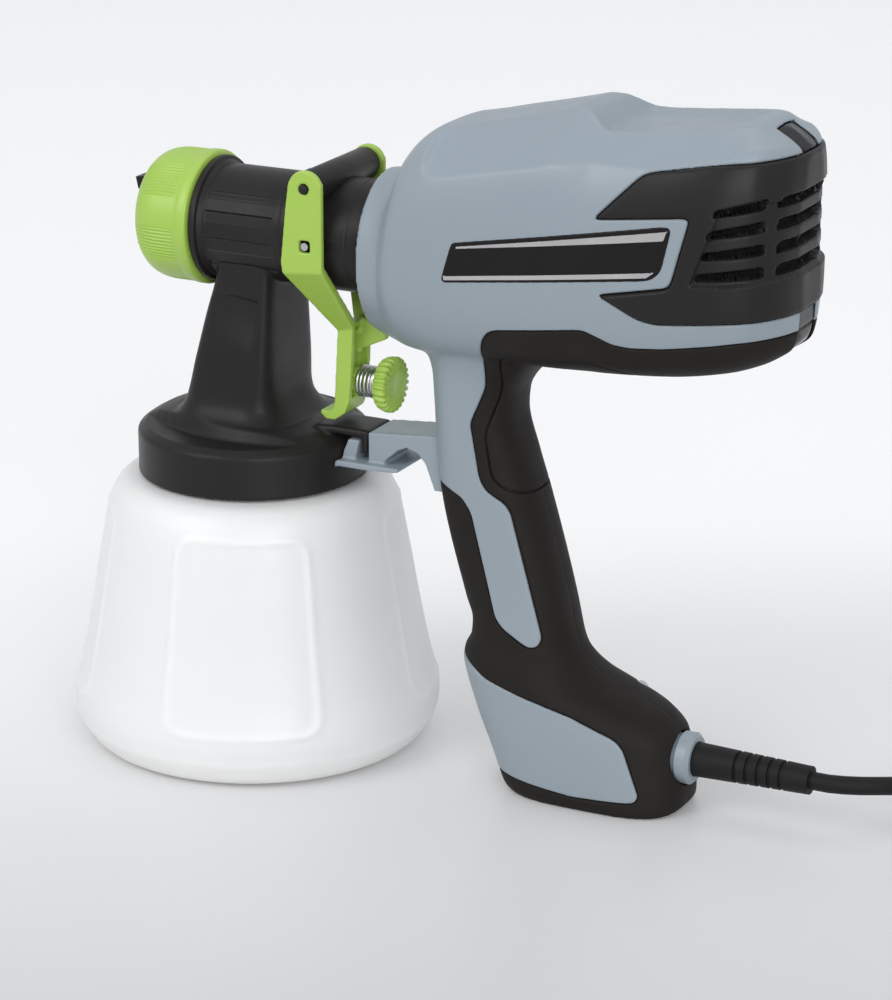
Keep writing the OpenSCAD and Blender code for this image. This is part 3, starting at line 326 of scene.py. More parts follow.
def segment_distance(p, pts):
    """Signed distance from points p (N, 2) to a closed outline: less than 0 inside."""
    pts = np.asarray(pts, float)
    best = np.full(len(p), 1e9)
    inside = np.zeros(len(p), bool)
    for a, b in zip(pts, np.roll(pts, -1, 0)):
        ab = b - a
        t = np.clip(((p - a) @ ab) / (ab @ ab), 0, 1)
        best = np.minimum(best, np.hypot(*(p - a - t[:, None] * ab).T))
        hit = (a[1] > p[:, 1]) != (b[1] > p[:, 1])
        with np.errstate(divide="ignore", invalid="ignore"):
            xc = a[0] + (p[:, 1] - a[1]) * ab[0] / ab[1]
        inside ^= hit & (p[:, 0] < xc)
    return np.where(inside, -best, best)


def rounded(points, r):
    """An outline with its corners rounded by up to r."""
    pts = [np.array(p, float) for p in points]
    out = []
    for i, p in enumerate(pts):
        a, b = pts[i - 1], pts[(i + 1) % len(pts)]
        ca = min(r, 0.45 * np.linalg.norm(a - p))
        cb = min(r, 0.45 * np.linalg.norm(b - p))
        pa, pb = p + (a - p) / np.linalg.norm(a - p) * ca, p + (b - p) / np.linalg.norm(b - p) * cb
        for t in (0, 0.25, 0.5, 0.75, 1):
            out.append((1 - t) ** 2 * pa + 2 * t * (1 - t) * p + t * t * pb)
    return np.array(out)


def step(v, lo, hi):
    """Rises smoothly from 0 at lo to 1 at hi."""
    t = np.clip((v - lo) / (hi - lo), 0, 1)
    return t * t * (3 - 2 * t)


# ---------------------------------------------------------------- surfaces as arrays
def tri_edges(tri):
    """Each edge of the triangles once, as pairs of vertex numbers."""
    e = np.sort(np.concatenate([tri[:, [0, 1]], tri[:, [1, 2]], tri[:, [2, 0]]]), 1)
    return np.unique(e, axis=0)


def relax(co, edges, weight, rounds, shrink=0.5, grow=0.0):
    """Moves each vertex towards the middle of its neighbours; grow pushes the form back out again."""
    n = len(co)
    a, b = edges.T
    neighbours = np.bincount(edges.ravel(), minlength=n)[:, None]
    for _ in range(rounds):
        for f in ((shrink, -grow) if grow else (shrink,)):
            total = np.stack([np.bincount(a, co[b, axis], n) + np.bincount(b, co[a, axis], n) for axis in range(3)], 1)
            co = co + (total / neighbours - co) * weight[:, None] * f
    return co


def normals(co, tri):
    """Each vertex's normal, weighted by the area of its triangles."""
    fn = np.cross(co[tri[:, 1]] - co[tri[:, 0]], co[tri[:, 2]] - co[tri[:, 0]])
    vn = np.stack([sum(np.bincount(tri[:, k], fn[:, a], len(co)) for k in range(3)) for a in range(3)], 1)
    return vn / np.maximum(np.linalg.norm(vn, axis=1), 1e-12)[:, None]


def remeshed(shapes, voxel):
    """Closed shapes grown together into one evenly meshed surface: points and triangles."""
    co, faces, n = [], [], 0
    for c, f in shapes:
        co.append(np.asarray(c, float))
        faces += [tuple(i + n for i in q) for q in f]
        n += len(c)
    me = bpy.data.meshes.new("stock")
    me.from_pydata(np.concatenate(co).tolist(), [], faces)
    bm = bmesh.new()
    bm.from_mesh(me)
    bmesh.ops.recalc_face_normals(bm, faces=bm.faces)
    bm.to_mesh(me)
    bm.free()
    o = bpy.data.objects.new("stock", me)
    bpy.context.scene.collection.objects.link(o)
    m = o.modifiers.new("remesh", "REMESH")
    m.mode = "VOXEL"
    m.voxel_size = voxel
    ev = o.evaluated_get(bpy.context.evaluated_depsgraph_get()).to_mesh()
    ev.calc_loop_triangles()
    out = np.empty(len(ev.vertices) * 3)
    ev.vertices.foreach_get("co", out)
    tri = np.empty(len(ev.loop_triangles) * 3, np.int32)
    ev.loop_triangles.foreach_get("vertices", tri)
    bpy.data.objects.remove(o)
    return out.reshape(-1, 3), tri.reshape(-1, 3).astype(np.int64)


def fused(shapes, voxel, rounds):
    """Closed shapes grown together and softened."""
    co, tri = remeshed(shapes, voxel)
    return relax(co, tri_edges(tri), np.ones(len(co)), rounds, 0.5, 0.35), tri


def cut(co, tri, field, value, eps=0.06):
    """Splits triangles along the line where field(co) equals value."""
    g = field(co) - value
    g[np.abs(g) < eps] = 0
    s = np.sign(g).astype(int)
    t = s[tri]
    cross = (t.max(1) > 0) & (t.min(1) < 0)
    x, sx, n = tri[cross], t[cross], len(co)
    if not len(x):
        return co, tri
    zero = (sx == 0).any(1)
    lone = np.where(zero, (sx == 0).argmax(1), (sx == -np.sign(sx.sum(1))[:, None]).argmax(1))
    idx = (lone[:, None] + np.arange(3)) % 3
    x = np.take_along_axis(x, idx, 1)

    def keys(a, b):
        return np.minimum(a, b).astype(np.int64) * n + np.maximum(a, b)

    za, fa = x[zero], x[~zero]
    k1, k2, k3 = keys(za[:, 1], za[:, 2]), keys(fa[:, 0], fa[:, 1]), keys(fa[:, 0], fa[:, 2])
    uniq, inv = np.unique(np.concatenate([k1, k2, k3]), return_inverse=True)
    a, b = uniq // n, uniq % n
    w = (g[a] / (g[a] - g[b]))[:, None]
    new = co[a] + (co[b] - co[a]) * w
    m1, m2, m3 = np.split(inv + n, [len(k1), len(k1) + len(k2)])
    parts = [tri[~cross],
             np.stack([za[:, 0], za[:, 1], m1], 1), np.stack([za[:, 0], m1, za[:, 2]], 1),
             np.stack([fa[:, 0], m2, m3], 1), np.stack([m2, fa[:, 1], fa[:, 2]], 1), np.stack([m2, fa[:, 2], m3], 1)]
    return np.concatenate([co, new]), np.concatenate(parts)


def link_object(name, me, body, replaces=(), mats=()):
    """A piece that rides a body and may stand for CAD nodes."""
    o = bpy.data.objects.new(name, me)
    bpy.context.scene.collection.objects.link(o)
    for m in mats:
        me.materials.append(m)
    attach(o, body)
    if replaces:
        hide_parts(*replaces)
    return o


def array_mesh(name, co, faces):
    """A mesh from points in mm, measured from the cup's axis."""
    me = bpy.data.meshes.new(name)
    me.from_pydata((np.asarray(co) / 1000 + [OX, 0, 0]).tolist(), [], [list(map(int, f)) for f in faces])
    me.update()
    return me


def patch(name, co, tri, vn, chosen, depth=1.8):
    """The chosen triangles as a piece whose open edges turn inwards by depth."""
    used, inv = np.unique(tri[chosen], return_inverse=True)
    t = inv.reshape(-1, 3)
    c, n = co[used], vn[used]
    e = np.concatenate([t[:, [0, 1]], t[:, [1, 2]], t[:, [2, 0]]])
    _, first, count = np.unique(np.sort(e, 1), axis=0, return_index=True, return_counts=True)
    rim = e[first[count == 1]]
    ids = np.unique(rim)
    back = np.full(len(c), -1)
    back[ids] = len(c) + np.arange(len(ids))
    faces = t.tolist() + [(b, a, back[a], back[b]) for a, b in rim.tolist()]
    return array_mesh(name, np.concatenate([c, c[ids] - n[ids] * depth]), faces)


# ---------------------------------------------------------------- blower and handle
BODY_W, GRIP_W, FOOT_W = 41, 18.5, 23.5  # half widths
# Along X: top, underside, share of the full width, squareness above and below
SHELL = [
    [60, 234.6, 172.4, 0.66, 2, 2], [70, 235.8, 169.4, 0.73, 2.1, 2.1], [73, 238.8, 169, 0.8, 2.3, 2.2],
    [77, 246.6, 168.8, 0.87, 2.6, 2.4], [84, 253.6, 168.6, 0.92, 2.9, 2.6], [96, 259.6, 168.8, 0.955, 3.3, 2.8],
    [120, 265, 169.8, 0.98, 3.4, 3], [147, 271, 171.2, 1, 3.3, 3.3], [153, 270, 171.6, 1, 3.2, 3.3],
    [160, 267.8, 172, 1, 3.1, 3.4], [186, 269.4, 174.2, 0.985, 3.1, 3.5], [205, 271, 177.4, 0.92, 3.1, 3.4],
    [217, 270.6, 181.4, 0.78, 3.2, 3.4], [223, 267, 184.8, 0.62, 3.4, 3.4], [227, 264, 187.4, 0.42, 3.6, 3.4],
    [229, 260.4, 190.4, 0.22, 3.4, 3.4],
]
# Along Z: front, rear, share of the grip's width, squareness of the front and of the rear
HANDLE = [
    [0, 117.4, 184.4, 1.16, 3.4, 3.2], [2.4, 114.6, 186.6, 1.235, 3.4, 3.1], [9, 111.2, 187.2, 1.27, 3.2, 2.8],
    [18, 107.2, 186.2, 1.28, 3, 2.6], [29, 102.4, 184.6, 1.27, 3, 2.4], [36, 99.6, 178.6, 1.25, 2.9, 2.2],
    [41, 97.8, 168.4, 1.23, 2.8, 2.1], [46, 96.4, 155.4, 1.2, 2.7, 2.1], [51, 95.4, 147, 1.16, 2.6, 2.2],
    [55, 96.2, 143, 1.11, 2.6, 2.3], [60, 98.6, 140.6, 1.06, 2.6, 2.4], [66, 99, 139, 1.03, 2.6, 2.5],
    [75, 96, 137, 1, 2.6, 2.6], [117, 85.2, 125.2, 0.98, 2.6, 2.6], [130, 83.8, 120.8, 0.97, 2.6, 2.6],
    [148, 83, 115.8, 0.98, 2.6, 2.6], [155, 82.6, 116.4, 1, 2.6, 2.6], [162, 82, 120.2, 1.05, 2.6, 2.6],
    [168, 80.4, 127, 1.14, 2.6, 2.6], [173, 78, 136, 1.25, 2.6, 2.6], [190, 76, 146, 1.3, 2.6, 2.6],
]
# Outlines of the inlays in side view, as X and Z; points past the form only close them
OUT_GRIP = [
    [110.8, 171], [112, 174.4], [115.6, 182.8], [118.4, 186.6], [122, 188.4], [157.8, 193.6], [161, 192.6],
    [169.4, 189.2], [176, 188.7], [188.3, 189.8], [212.6, 193.4], [250, 196.4], [250, 160], [160, 100],
    [220, 60], [220, -5], [80, -5], [80, 60], [86, 70], [78, 121], [92, 118.4], [99.2, 115.8], [103.2, 110.6],
    [113.6, 70.6], [116.9, 66.8], [127.9, 60.4], [131.4, 61], [132.8, 64.4], [119.2, 112.2], [116.8, 115.8],
    [109.4, 120.2], [106.8, 124.6], [103, 145.4], [109.6, 160.4],
]
OUT_PAD = [
    [117.2, 172.2], [114.8, 160.2], [108.6, 141.6], [111.6, 125.4], [116, 121.4], [122.9, 119], [136, 116.6],
    [152, 130], [190, 160], [168.7, 177.2], [159, 179.8], [120, 174.6],
]
OUT_PANEL = [
    [80, 58], [97.5, 52.6], [110.8, 46.2], [126.6, 42.2], [147.4, 37.6], [163.5, 31.6], [166.4, 29.8],
    [168.8, 26.6], [175, 9.6], [173.8, 7], [171, 6.4], [148, 5.6], [118.7, 8.2], [104, 8.8], [80, 26],
]
OUT_GRILLE = [
    [162.4, 235.3], [179.3, 252.3], [184, 254], [205.5, 257.8], [250, 260.6], [250, 202.6], [208.7, 201.2],
    [185.8, 199.4], [179.2, 200.6], [164.3, 208], [190.7, 213.3], [192.3, 215.5], [198.2, 238], [196.5, 239.1],
]
OUT_INLET = [[198, 214.4], [250, 216.4], [250, 249], [208.4, 242.8]]
OUT_BADGE = [
    [101.2, 204.6], [105.9, 219.8], [107.4, 220.5], [190.1, 235.8], [192.1, 234.6], [188.6, 219], [184.4, 215.4],
]
STRIPES = [[[108, 219], [190.4, 233.9], [189.3, 230.5], [108.3, 218.3]],
           [[103, 207.4], [185.9, 218.7], [183.2, 216.5], [103, 205.9]]]
# Along X: height and half width of the flat top's edge, and how steeply the side slope falls from it
TOP_EDGE = [
    [60, 252, 60, 0.5], [80, 253.6, 40, 0.55], [88, 255.6, 26, 0.65], [94, 257, 17, 0.75], [104, 259.2, 16.5, 0.75],
    [111, 260.9, 16.5, 0.75], [128, 264.7, 16.5, 0.75], [139, 267.3, 16.5, 0.75], [145, 268.6, 16.6, 0.75],
    [149, 268.6, 16.8, 0.75], [153.5, 266.7, 19.3, 0.75], [159.5, 263.8, 23.2, 0.75], [163, 263.8, 23.2, 0.75],
    [175, 264.8, 21.9, 0.75], [195, 267.1, 18.8, 0.75], [207, 268.3, 17.2, 0.7], [213, 268.6, 14.6, 0.5],
    [217, 267.8, 9.4, 0.32], [222, 266, 3, 0.2], [229, 261, 1, 0.15],
]
# The dished deck between the crests: half width of its floor along X
DISH = [[146, 154, 160, 181, 207], [9.5, 14, 18, 15.5, 11]]
# The screws' heads on the far side
SCREWS = [(86, 243), (168, 251.5), (196, 188.4), (104, 160), (118, 100), (118, 30), (160, 38.6)]


def slot_outlines():
    """The inlet's four rows of slots, each in two lengths with a post between them."""
    out = []
    pitch, h = 8.2, 4.2
    for k in range(4):
        front, rear, lean = 217.8 + 0.945 * pitch * k, 219.6 + pitch * k, 1.9 * k
        low, high = rear - h / 2, rear + h / 2
        out.append([[200.4 + lean, front - h / 3], [222.4, low], [222.4, high], [201.2 + lean, front + h / 3]])
        out.append([[224.8, low], [250, low], [250, high], [225.6, high]])
    return out


def soft_min(v, *limits):
    """Lowers v to the limits, with a narrow rounding where they meet; the lower half stays."""
    out = v
    for a in limits:
        out = -0.35 * np.logaddexp(-out / 0.35, -a / 0.35)
    return np.where(v > 0, out, v)


def body_surface():
    """The joined form of blower and handle, evenly meshed, with a soft crease where they meet."""
    s = np.array(SHELL, float)
    t = np.array(TOP_EDGE, float)
    xs = np.unique(np.concatenate([np.arange(60, 229, 1.3), s[:, 0]]))
    c = [pchip(s[:, 0], s[:, k], xs) for k in range(1, 6)]
    rings = []
    for x, top, low, w, p, q in zip(xs, *c):
        r = squircle(BODY_W * w, (top - low) / 2, p, q, 176)
        # A flat top, dished behind the hump, turns down to the sides over a plain slope
        edge, brink, fall = (float(pchip(t[:, 0], t[:, k], [x])[0]) for k in (1, 2, 3))
        u = np.abs(r[:, 0])
        floor = np.interp(x, *DISH)
        dish = np.interp(x, [145, 156, 206, 208], [0, 1, 1, 0]) * np.clip((brink - u) / max(brink - floor, 1), 0, 1)
        flat = edge + 0.5 * np.clip(1 - (u / brink) ** 2, 0, 1) * (1 - dish) - 1.7 * dish
        r[:, 1] = soft_min(r[:, 1], flat - (top + low) / 2, edge - fall * (u - brink) - (top + low) / 2)
        rings.append(np.stack([np.full(len(r), x), r[:, 0], (top + low) / 2 + r[:, 1]], 1))
    body = loft_mesh(rings)
    g = np.array(HANDLE, float)
    zs = np.unique(np.concatenate([np.arange(0, 189, 1.3), g[:, 0]]))
    c = [pchip(g[:, 0], g[:, k], zs) for k in range(1, 6)]
    rings = []
    for z, a, b, w, qf, pr in zip(zs, *c):
        half = GRIP_W + (w - 1) / 0.27 * (FOOT_W - GRIP_W) if z < 60 else GRIP_W * w
        r = squircle(half, (b - a) / 2, pr, qf, 120)
        rings.append(np.stack([(a + b) / 2 + r[:, 1], r[:, 0], np.full(len(r), z)], 1))
    co, tri = remeshed([body, loft_mesh(rings)], 0.8)
    e = tri_edges(tri)
    co = relax(co, e, np.ones(len(co)), 3, 0.5, 0.52)
    # A soft fillet where the handle meets the blower
    near = (step(co[:, 2], 152, 164) * (1 - step(co[:, 2], 174, 180)) * step(co[:, 0], 66, 72)
            * (1 - step(co[:, 0], 146, 156)) * (1 - step(np.abs(co[:, 1]), 30, 36)))
    co = relax(co, e, near, 30, 0.5)
    # The rear end is rounded off
    co = relax(co, e, step(co[:, 0], 219, 226) * step(co[:, 2], 150, 170), 24, 0.5, 0.4)
    co[:, 2] = np.maximum(co[:, 2], 0)
    return co, tri


def xz(outline, r):
    """The signed distance to an outline in side view."""
    pts = rounded(outline, r)
    return lambda co: segment_distance(co[:, [0, 2]], pts)


FAR = 40  # a distance past every border


def where_else_far(choose, distance):
    """The distance where choose holds, and FAR elsewhere."""
    return lambda p: np.where(choose(p), distance(p), FAR)


def roll_in(distance, r):
    """How deep a rounding of radius r lies below the surface, at a distance from its border."""
    return r - np.sqrt(np.maximum(0, r * r - np.clip(r - distance, 0, r) ** 2))


def body_pieces():
    """The skin of blower and handle, cut into shells and inlays with rounded edges."""
    co, tri = body_surface()
    grip, pad, panel = xz(OUT_GRIP, 2.2), xz(OUT_PAD, 3.0), xz(OUT_PANEL, 1.6)
    grille, inlet, badge = xz(OUT_GRILLE, 2.6), xz(OUT_INLET, 2.0), xz(OUT_BADGE, 3.0)
    slots = [xz(s, 1.2) for s in slot_outlines()]
    slot = lambda p: np.minimum.reduce([s(p) for s in slots])
    hole = where_else_far(lambda p: p[:, 0] < 66, lambda p: np.hypot(p[:, 1], p[:, 2] - BARREL_Z) - 22.6)
    notch = where_else_far(lambda p: p[:, 0] < 78,
                           lambda p: np.maximum(np.abs(p[:, 1]) - 2.1, np.abs(p[:, 2] - 171.6) - 8.6))
    gland = where_else_far(lambda p: p[:, 0] > 170, lambda p: np.hypot(p[:, 1], p[:, 2] - GLAND_Z) - 10.35)
    heads = where_else_far(lambda p: p[:, 1] > 0,
                           lambda p: np.minimum.reduce([np.hypot(p[:, 0] - x, p[:, 2] - z) - 3.3 for x, z in SCREWS]))
    spine = where_else_far(lambda p: (p[:, 0] > 204) & (p[:, 2] > 150),
                           lambda p: np.maximum(np.abs(p[:, 1]) - 8, 218 - p[:, 0]))
    seam = lambda p: np.abs(p[:, 1])
    openings = [hole, notch, gland, heads]
    for f in (pad, panel, grille, grip, spine):
        for v in (-0.85, -0.45, -0.2, 0.2, 0.45, 0.85):
            co, tri = cut(co, tri, f, v)
    for f in openings:
        for v in (0, 0.3, 0.7):
            co, tri = cut(co, tri, f, v)
    for v in (-1.2, 0):
        co, tri = cut(co, tri, inlet, v)
    for v in (0, 0.3, 0.7):
        co, tri = cut(co, tri, slot, v)
    for v in (0.15, 0.5):
        co, tri = cut(co, tri, seam, v)
    stripe = lambda p: np.minimum(*[segment_distance(p[:, [0, 2]], np.array(s, float)) for s in STRIPES])
    for v in (-0.7, -0.35, 0, 0.3):
        co, tri = cut(co, tri, badge, v)
    co, tri = cut(co, tri, stripe, 0)
    vn = normals(co, tri)
    inlays = dict(grip=grip, pad=pad, panel=panel, grille=grille, spine=spine, slot=slot)
    d = {k: f(co) for k, f in dict(inlays, inlet=inlet).items()}
    border = np.minimum.reduce([np.abs(d["pad"]), np.abs(d["panel"]), np.abs(d["grille"]),
                                np.where(d["grille"] < 0, 9, np.abs(d["spine"])),
                                np.where((d["pad"] < 0) | (d["panel"] < 0), 9, np.abs(d["grip"]))])
    half_groove, opening_r = 0.2, 0.7
    into = roll_in(border - half_groove, 0.65)
    for f in openings:
        into = np.maximum(into, roll_in(f(co), opening_r))
    # A fine seam between the two shells
    plain = (d["pad"] > 0) & (d["grille"] > 0) & (d["spine"] > 0)
    into = np.maximum(into, np.where(plain, 0.12 * (1 - step(seam(co), 0.15, 0.5)), 0))
    # Bands of the grille stand proud, its bars lie back
    band = np.where(d["grille"] < 0, step(-d["grille"], 0.1, 1.3), 0)
    into = into - 0.8 * band + 1.7 * band * step(-d["inlet"], 0, 1.2)
    v = np.where(d["grille"] < 0, d["slot"], 9)
    into = into + np.where(v > -0.01, roll_in(v, opening_r), 0)
    into = into + np.where(d["spine"] < 0, step(-d["spine"], -0.2, 0.6), 0) * (d["grille"] > 0)
    out = co - vn * into[:, None]
    out[:, 2] = np.maximum(out[:, 2], 0)

    mid = co[tri].mean(1)
    f = {k: g(mid) for k, g in dict(inlays, hole=hole, notch=notch, gland=gland, heads=heads, badge=badge).items()}
    solid = (f["hole"] > 0) & (f["notch"] > 0) & (f["gland"] > 0) & (f["heads"] > 0)
    inside = {k: f[k] < -half_groove for k in ("pad", "panel", "grille", "spine", "grip")}
    outside = {k: f[k] > half_groove for k in inside}
    in_pad, in_panel, in_grille = inside["pad"], inside["panel"], inside["grille"]
    free = outside["pad"] & outside["panel"] & outside["grille"]
    in_spine = free & inside["spine"]
    free &= outside["spine"]
    in_grip = free & inside["grip"]
    shell = free & outside["grip"]
    nn = normals(out, tri)
    left = mid[:, 1] < 0
    for name, sel, node, mat, slot_name, depth in (
            ("shell_left", shell & left, "housing_left", BLUE, "shell_blue", 2.2),
            ("shell_right", shell & ~left, "housing_right", BLUE, "shell_blue", 2.2),
            ("grip_skin_left", in_grip & left, "grip_left", GRIP, "soft_grip", 1.5),
            ("grip_skin_right", in_grip & ~left, "grip_right", GRIP, "soft_grip", 1.5),
            ("thumb_pad", in_pad, "grip_pad", GRIP, "soft_grip", 1.5),
            ("foot_panel_left", in_panel & left, "base_panel_left", BLUE, "shell_blue", 1.5),
            ("foot_panel_right", in_panel & ~left, "base_panel_right", BLUE, "shell_blue", 1.5),
            ("inlet_grille", in_grille & (f["slot"] > 0), "rear_grille", BLACK, "black_plastic", 2.6),
            ("gloss_strip", in_spine, "rear_spine", GLOSS, "gloss_black", 2.0)):
        me = patch(name, out, tri, nn, sel & solid, depth)
        smooth(link_object(name, me, "housing", (node,), (mat,)), 50)
    # A black inner skin closes the grooves between the pieces and gives their floors painted shade, but leaves the air
    # inlet and the openings open
    keep = solid & (f["slot"] > 0) & (f["hole"] > 0.5) & (f["notch"] > 0.5)
    me = patch("inner_skin", co - vn * 1.45, tri, vn, keep & ~in_grille, 0.4)
    smooth(link_object("inner_skin", me, "housing", (), (BLACK,)), 60)
    # The filter mat lies close behind the inlet
    me = patch("filter_mat", co - vn * 4.2, tri, vn, in_grille & (inlet(mid) < 3), 1.5)
    smooth(link_object("filter_mat", me, "housing", (), (FOAM,)), 60)
    # The bare plate on the near side: black, with two bright stripes
    near = (mid[:, 1] < -20) & (f["badge"] < 0)
    sink = 0.45 - np.sqrt(np.maximum(0, 0.2 - np.clip(0.45 + badge(co), 0, 0.45) ** 2))
    me = patch("side_plate", out + vn * (0.3 - sink)[:, None], tri, nn, near, 0.4)
    o = link_object("side_plate", me, "housing", (), (PLATE, STRIPE))
    bright = np.zeros(len(me.polygons), np.int32)
    bright[:near.sum()] = stripe(mid[near]) < 0
    me.polygons.foreach_set("material_index", bright)
    smooth(o, 60)


# ---------------------------------------------------------------- smaller pieces
def box_mesh(x0, x1, y0, y1, z0, z1):
    co = np.array([[x, y, z] for x in (x0, x1) for y in (y0, y1) for z in (z0, z1)], float)
    return co, [(0, 1, 3, 2), (4, 6, 7, 5), (0, 4, 5, 1), (2, 3, 7, 6), (0, 2, 6, 4), (1, 5, 7, 3)]


def prism(outline, half):
    """An outline in X-Z, half to each side of Y = 0."""
    n = len(outline)
    co = np.array([[x, s * half, z] for s in (-1, 1) for x, z in outline], float)
    faces = [tuple(range(n)), tuple(range(2 * n - 1, n - 1, -1))]
    return co, faces + [(k, n + k, n + (k + 1) % n, (k + 1) % n) for k in range(n)]


def turned_faces(n, m):
    """Faces between n copies of a line of m points, set round an axis."""
    return [(i * m + k, ((i + 1) % n) * m + k, ((i + 1) % n) * m + k + 1, i * m + k + 1)
            for i in range(n) for k in range(m - 1)]


def lathe(profile, n=128, axis="z", at=(0, 0, 0), shape=None):
    """A closed profile of (radius, place along the axis) turned round an axis."""
    p = np.array(profile, float)
    rings = []
    for a in np.linspace(0, 2 * np.pi, n, endpoint=False):
        r = shape(p[:, 0], p[:, 1], a) if shape else p[:, 0]
        if axis == "z":
            rings.append(np.stack([r * np.cos(a), r * np.sin(a), p[:, 1]], 1))
        else:
            rings.append(np.stack([p[:, 1], r * np.cos(a), r * np.sin(a)], 1))
    return np.concatenate(rings) + np.array(at, float), turned_faces(n, len(p))


def rod(a, b, r, n=64):
    """A plain round bar from a to b, used as stock for a softened piece."""
    a, b = Vector(a), Vector(b)
    q = (b - a).to_track_quat("Z", "Y").to_matrix()
    co = [end + q @ Vector((r * math.cos(t), r * math.sin(t), 0))
          for end in (a, b) for t in np.arange(n) * 2 * math.pi / n]
    faces = [tuple(range(n - 1, -1, -1)), tuple(range(n, 2 * n))]
    return np.array(co), faces + [(k, (k + 1) % n, n + (k + 1) % n, n + k) for k in range(n)]


def cleaned(o):
    """Joins points that meet and turns all faces outwards."""
    bm = bmesh.new()
    bm.from_mesh(o.data)
    bmesh.ops.remove_doubles(bm, verts=bm.verts, dist=1e-6)
    bmesh.ops.recalc_face_normals(bm, faces=bm.faces)
    bm.to_mesh(o.data)
    bm.free()


def softened(name, node, voxel, rounds, body, mat):
    """A CAD node's own form with moulded, rounded edges."""
    bm = bmesh.new()
    bm.from_mesh(nodes[node].data)
    bmesh.ops.remove_doubles(bm, verts=bm.verts, dist=1e-6)
    co = (np.array([v.co[:] for v in bm.verts]) - [OX, 0, 0]) * 1000
    faces = [tuple(v.index for v in f.verts) for f in bm.faces]
    bm.free()
    out, tri = fused([(co, faces)], voxel, rounds)
    smooth(link_object(name, array_mesh(name, out, tri), body, (node,), (mat,)), 60)


def bracket():
    """The latch bracket in front of the handle: lip, hooked post and arched arm."""
    end_x = 56
    low = [(-16, -7.7), (0, -7.7), (14, -6.9), (14, -5.2), (-16, -5.2)]
    post = [(-12.5, -5.5), (-6.2, -5.5), (-4.2, 2.7), (-9, 2.7)]
    arm = [(0, -6.5), (4, -7.5), (8, -2.9), (12.5, 1.1), (16.4, 2.7), (21, 1.1), (24, -2.1), (28, -12.5),
           (34, -12.5), (34, 9.5), (0, 6.7)]
    at = lambda pts: [(end_x + x, LID_TOP + z) for x, z in pts]
    co, tri = fused([prism(at(low), 13), prism(at(post), 9.6), prism(at(arm), 10)], 0.5, 0)
    # The lid's skirt is cleared
    far = np.hypot(co[:, 0], co[:, 1])
    push = np.where(co[:, 2] < LID_TOP + 1, np.maximum(0, 45.8 - far), 0)
    co[:, :2] *= ((far + push) / np.maximum(far, 1))[:, None]
    co = relax(co, tri_edges(tri), np.ones(len(co)), 6, 0.5, 0.3)
    me = array_mesh("latch_bracket", co, tri)
    smooth(link_object("latch_bracket", me, "housing", (), (BLUE,)), 60)


def head_lid():
    """Lid, pylon and lug grown together."""
    top = LID_TOP
    # Sections of the pylon: height, front, rear, half width, squareness
    sec = np.array([
        [top + 2, -33, 35, 31, 2.6], [top + 5.2, -29.6, 29.6, 28.8, 2.8], [top + 7.2, -26.6, 25.6, 26.6, 3],
        [top + 9.6, -24, 22, 24.6, 3.4], [top + 13, -21.6, 19.2, 23, 4], [top + 18, -19.4, 17.8, 21.9, 5],
        [top + 30, -16, 17.4, 20.6, 6.5], [top + 48, -11.4, 17.2, 18.6, 7], [top + 62, -7.6, 17, 17.2, 7],
        [BARREL_Z - 8, -6, 16.8, 16.6, 7]])
    zs = np.arange(sec[0, 0], sec[-1, 0], 0.8)
    cols = [pchip(sec[:, 0], sec[:, k], zs) for k in range(1, 5)]
    rings = []
    for z, a, b, w, p in zip(zs, *cols):
        r = squircle((b - a) / 2, w, p, p, 112)
        rings.append(np.stack([(a + b) / 2 + r[:, 0], r[:, 1], np.full(len(r), z)], 1))
    lid = [(0, 109), (45, 109), (45, top - 1.2), (44.7, top - 0.4), (44, top + 0.3), (41, top + 2.4), (37, top + 4.7),
           (31, top + 6.4), (23, top + 7.4), (0, top + 7.5)]
    stock = [loft_mesh(rings), lathe(lid + [(0, 109)], 160), rod((-12, 0, BARREL_Z), (36, 0, BARREL_Z), 21.1),
             box_mesh(33, 55.6, -9.6, 9.6, top + 3.9, top + 6.9), box_mesh(52.6, 55.2, -9.6, 9.6, top - 2.5, top + 5.9)]
    co, tri = fused(stock, 0.75, 5)
    # A crescent scooped out of the lid before the pylon's foot, on both sides
    foot = np.abs(co[:, 1]) - 28 + 0.008 * (co[:, 0] - 7) ** 2
    scoop = step(foot, -0.3, 2.6) * (1 - step(np.hypot(co[:, 0], co[:, 1]), 40.6, 42))
    on_top = (co[:, 2] > top + 1.8) & (co[:, 2] < top + 9)
    co[:, 2] -= np.where(on_top, (co[:, 2] - top - 1.8) * scoop, 0)
    # A step high up in the pylon's sides, which runs out forwards and downwards
    inside = np.minimum(12.8 + 0.1 * (co[:, 2] - 175) - co[:, 0], 182.8 - 0.12 * co[:, 0] - co[:, 2])
    dip = step(inside, 0, 0.8) * (1 - step(np.hypot(co[:, 0] - 13, co[:, 2] - 181.5), 7, 22))
    flank = (np.abs(co[:, 1]) > 13) & (co[:, 2] > 155) & (co[:, 2] < 190)
    co[:, 1] -= np.where(flank, np.sign(co[:, 1]) * 2 * dip, 0)
    co = relax(co, tri_edges(tri), (co[:, 2] > top - 1).astype(float), 1, 0.4)
    under = where_else_far(lambda p: p[:, 2] < 112, lambda p: np.hypot(p[:, 0], p[:, 1]) - 41.2)
    co, tri = cut(co, tri, under, 0)
    vn = normals(co, tri)
    mid = co[tri].mean(1)
    keep = (under(mid) > 0) & ~((mid[:, 2] > BARREL_Z - 14) & (np.hypot(mid[:, 1], mid[:, 2] - BARREL_Z) < 21.25))
    me = patch("head_lid", co, tri, vn, keep, 0.1)
    smooth(link_object("head_lid", me, "housing", ("paint_head",), (BLACK,)), 60)


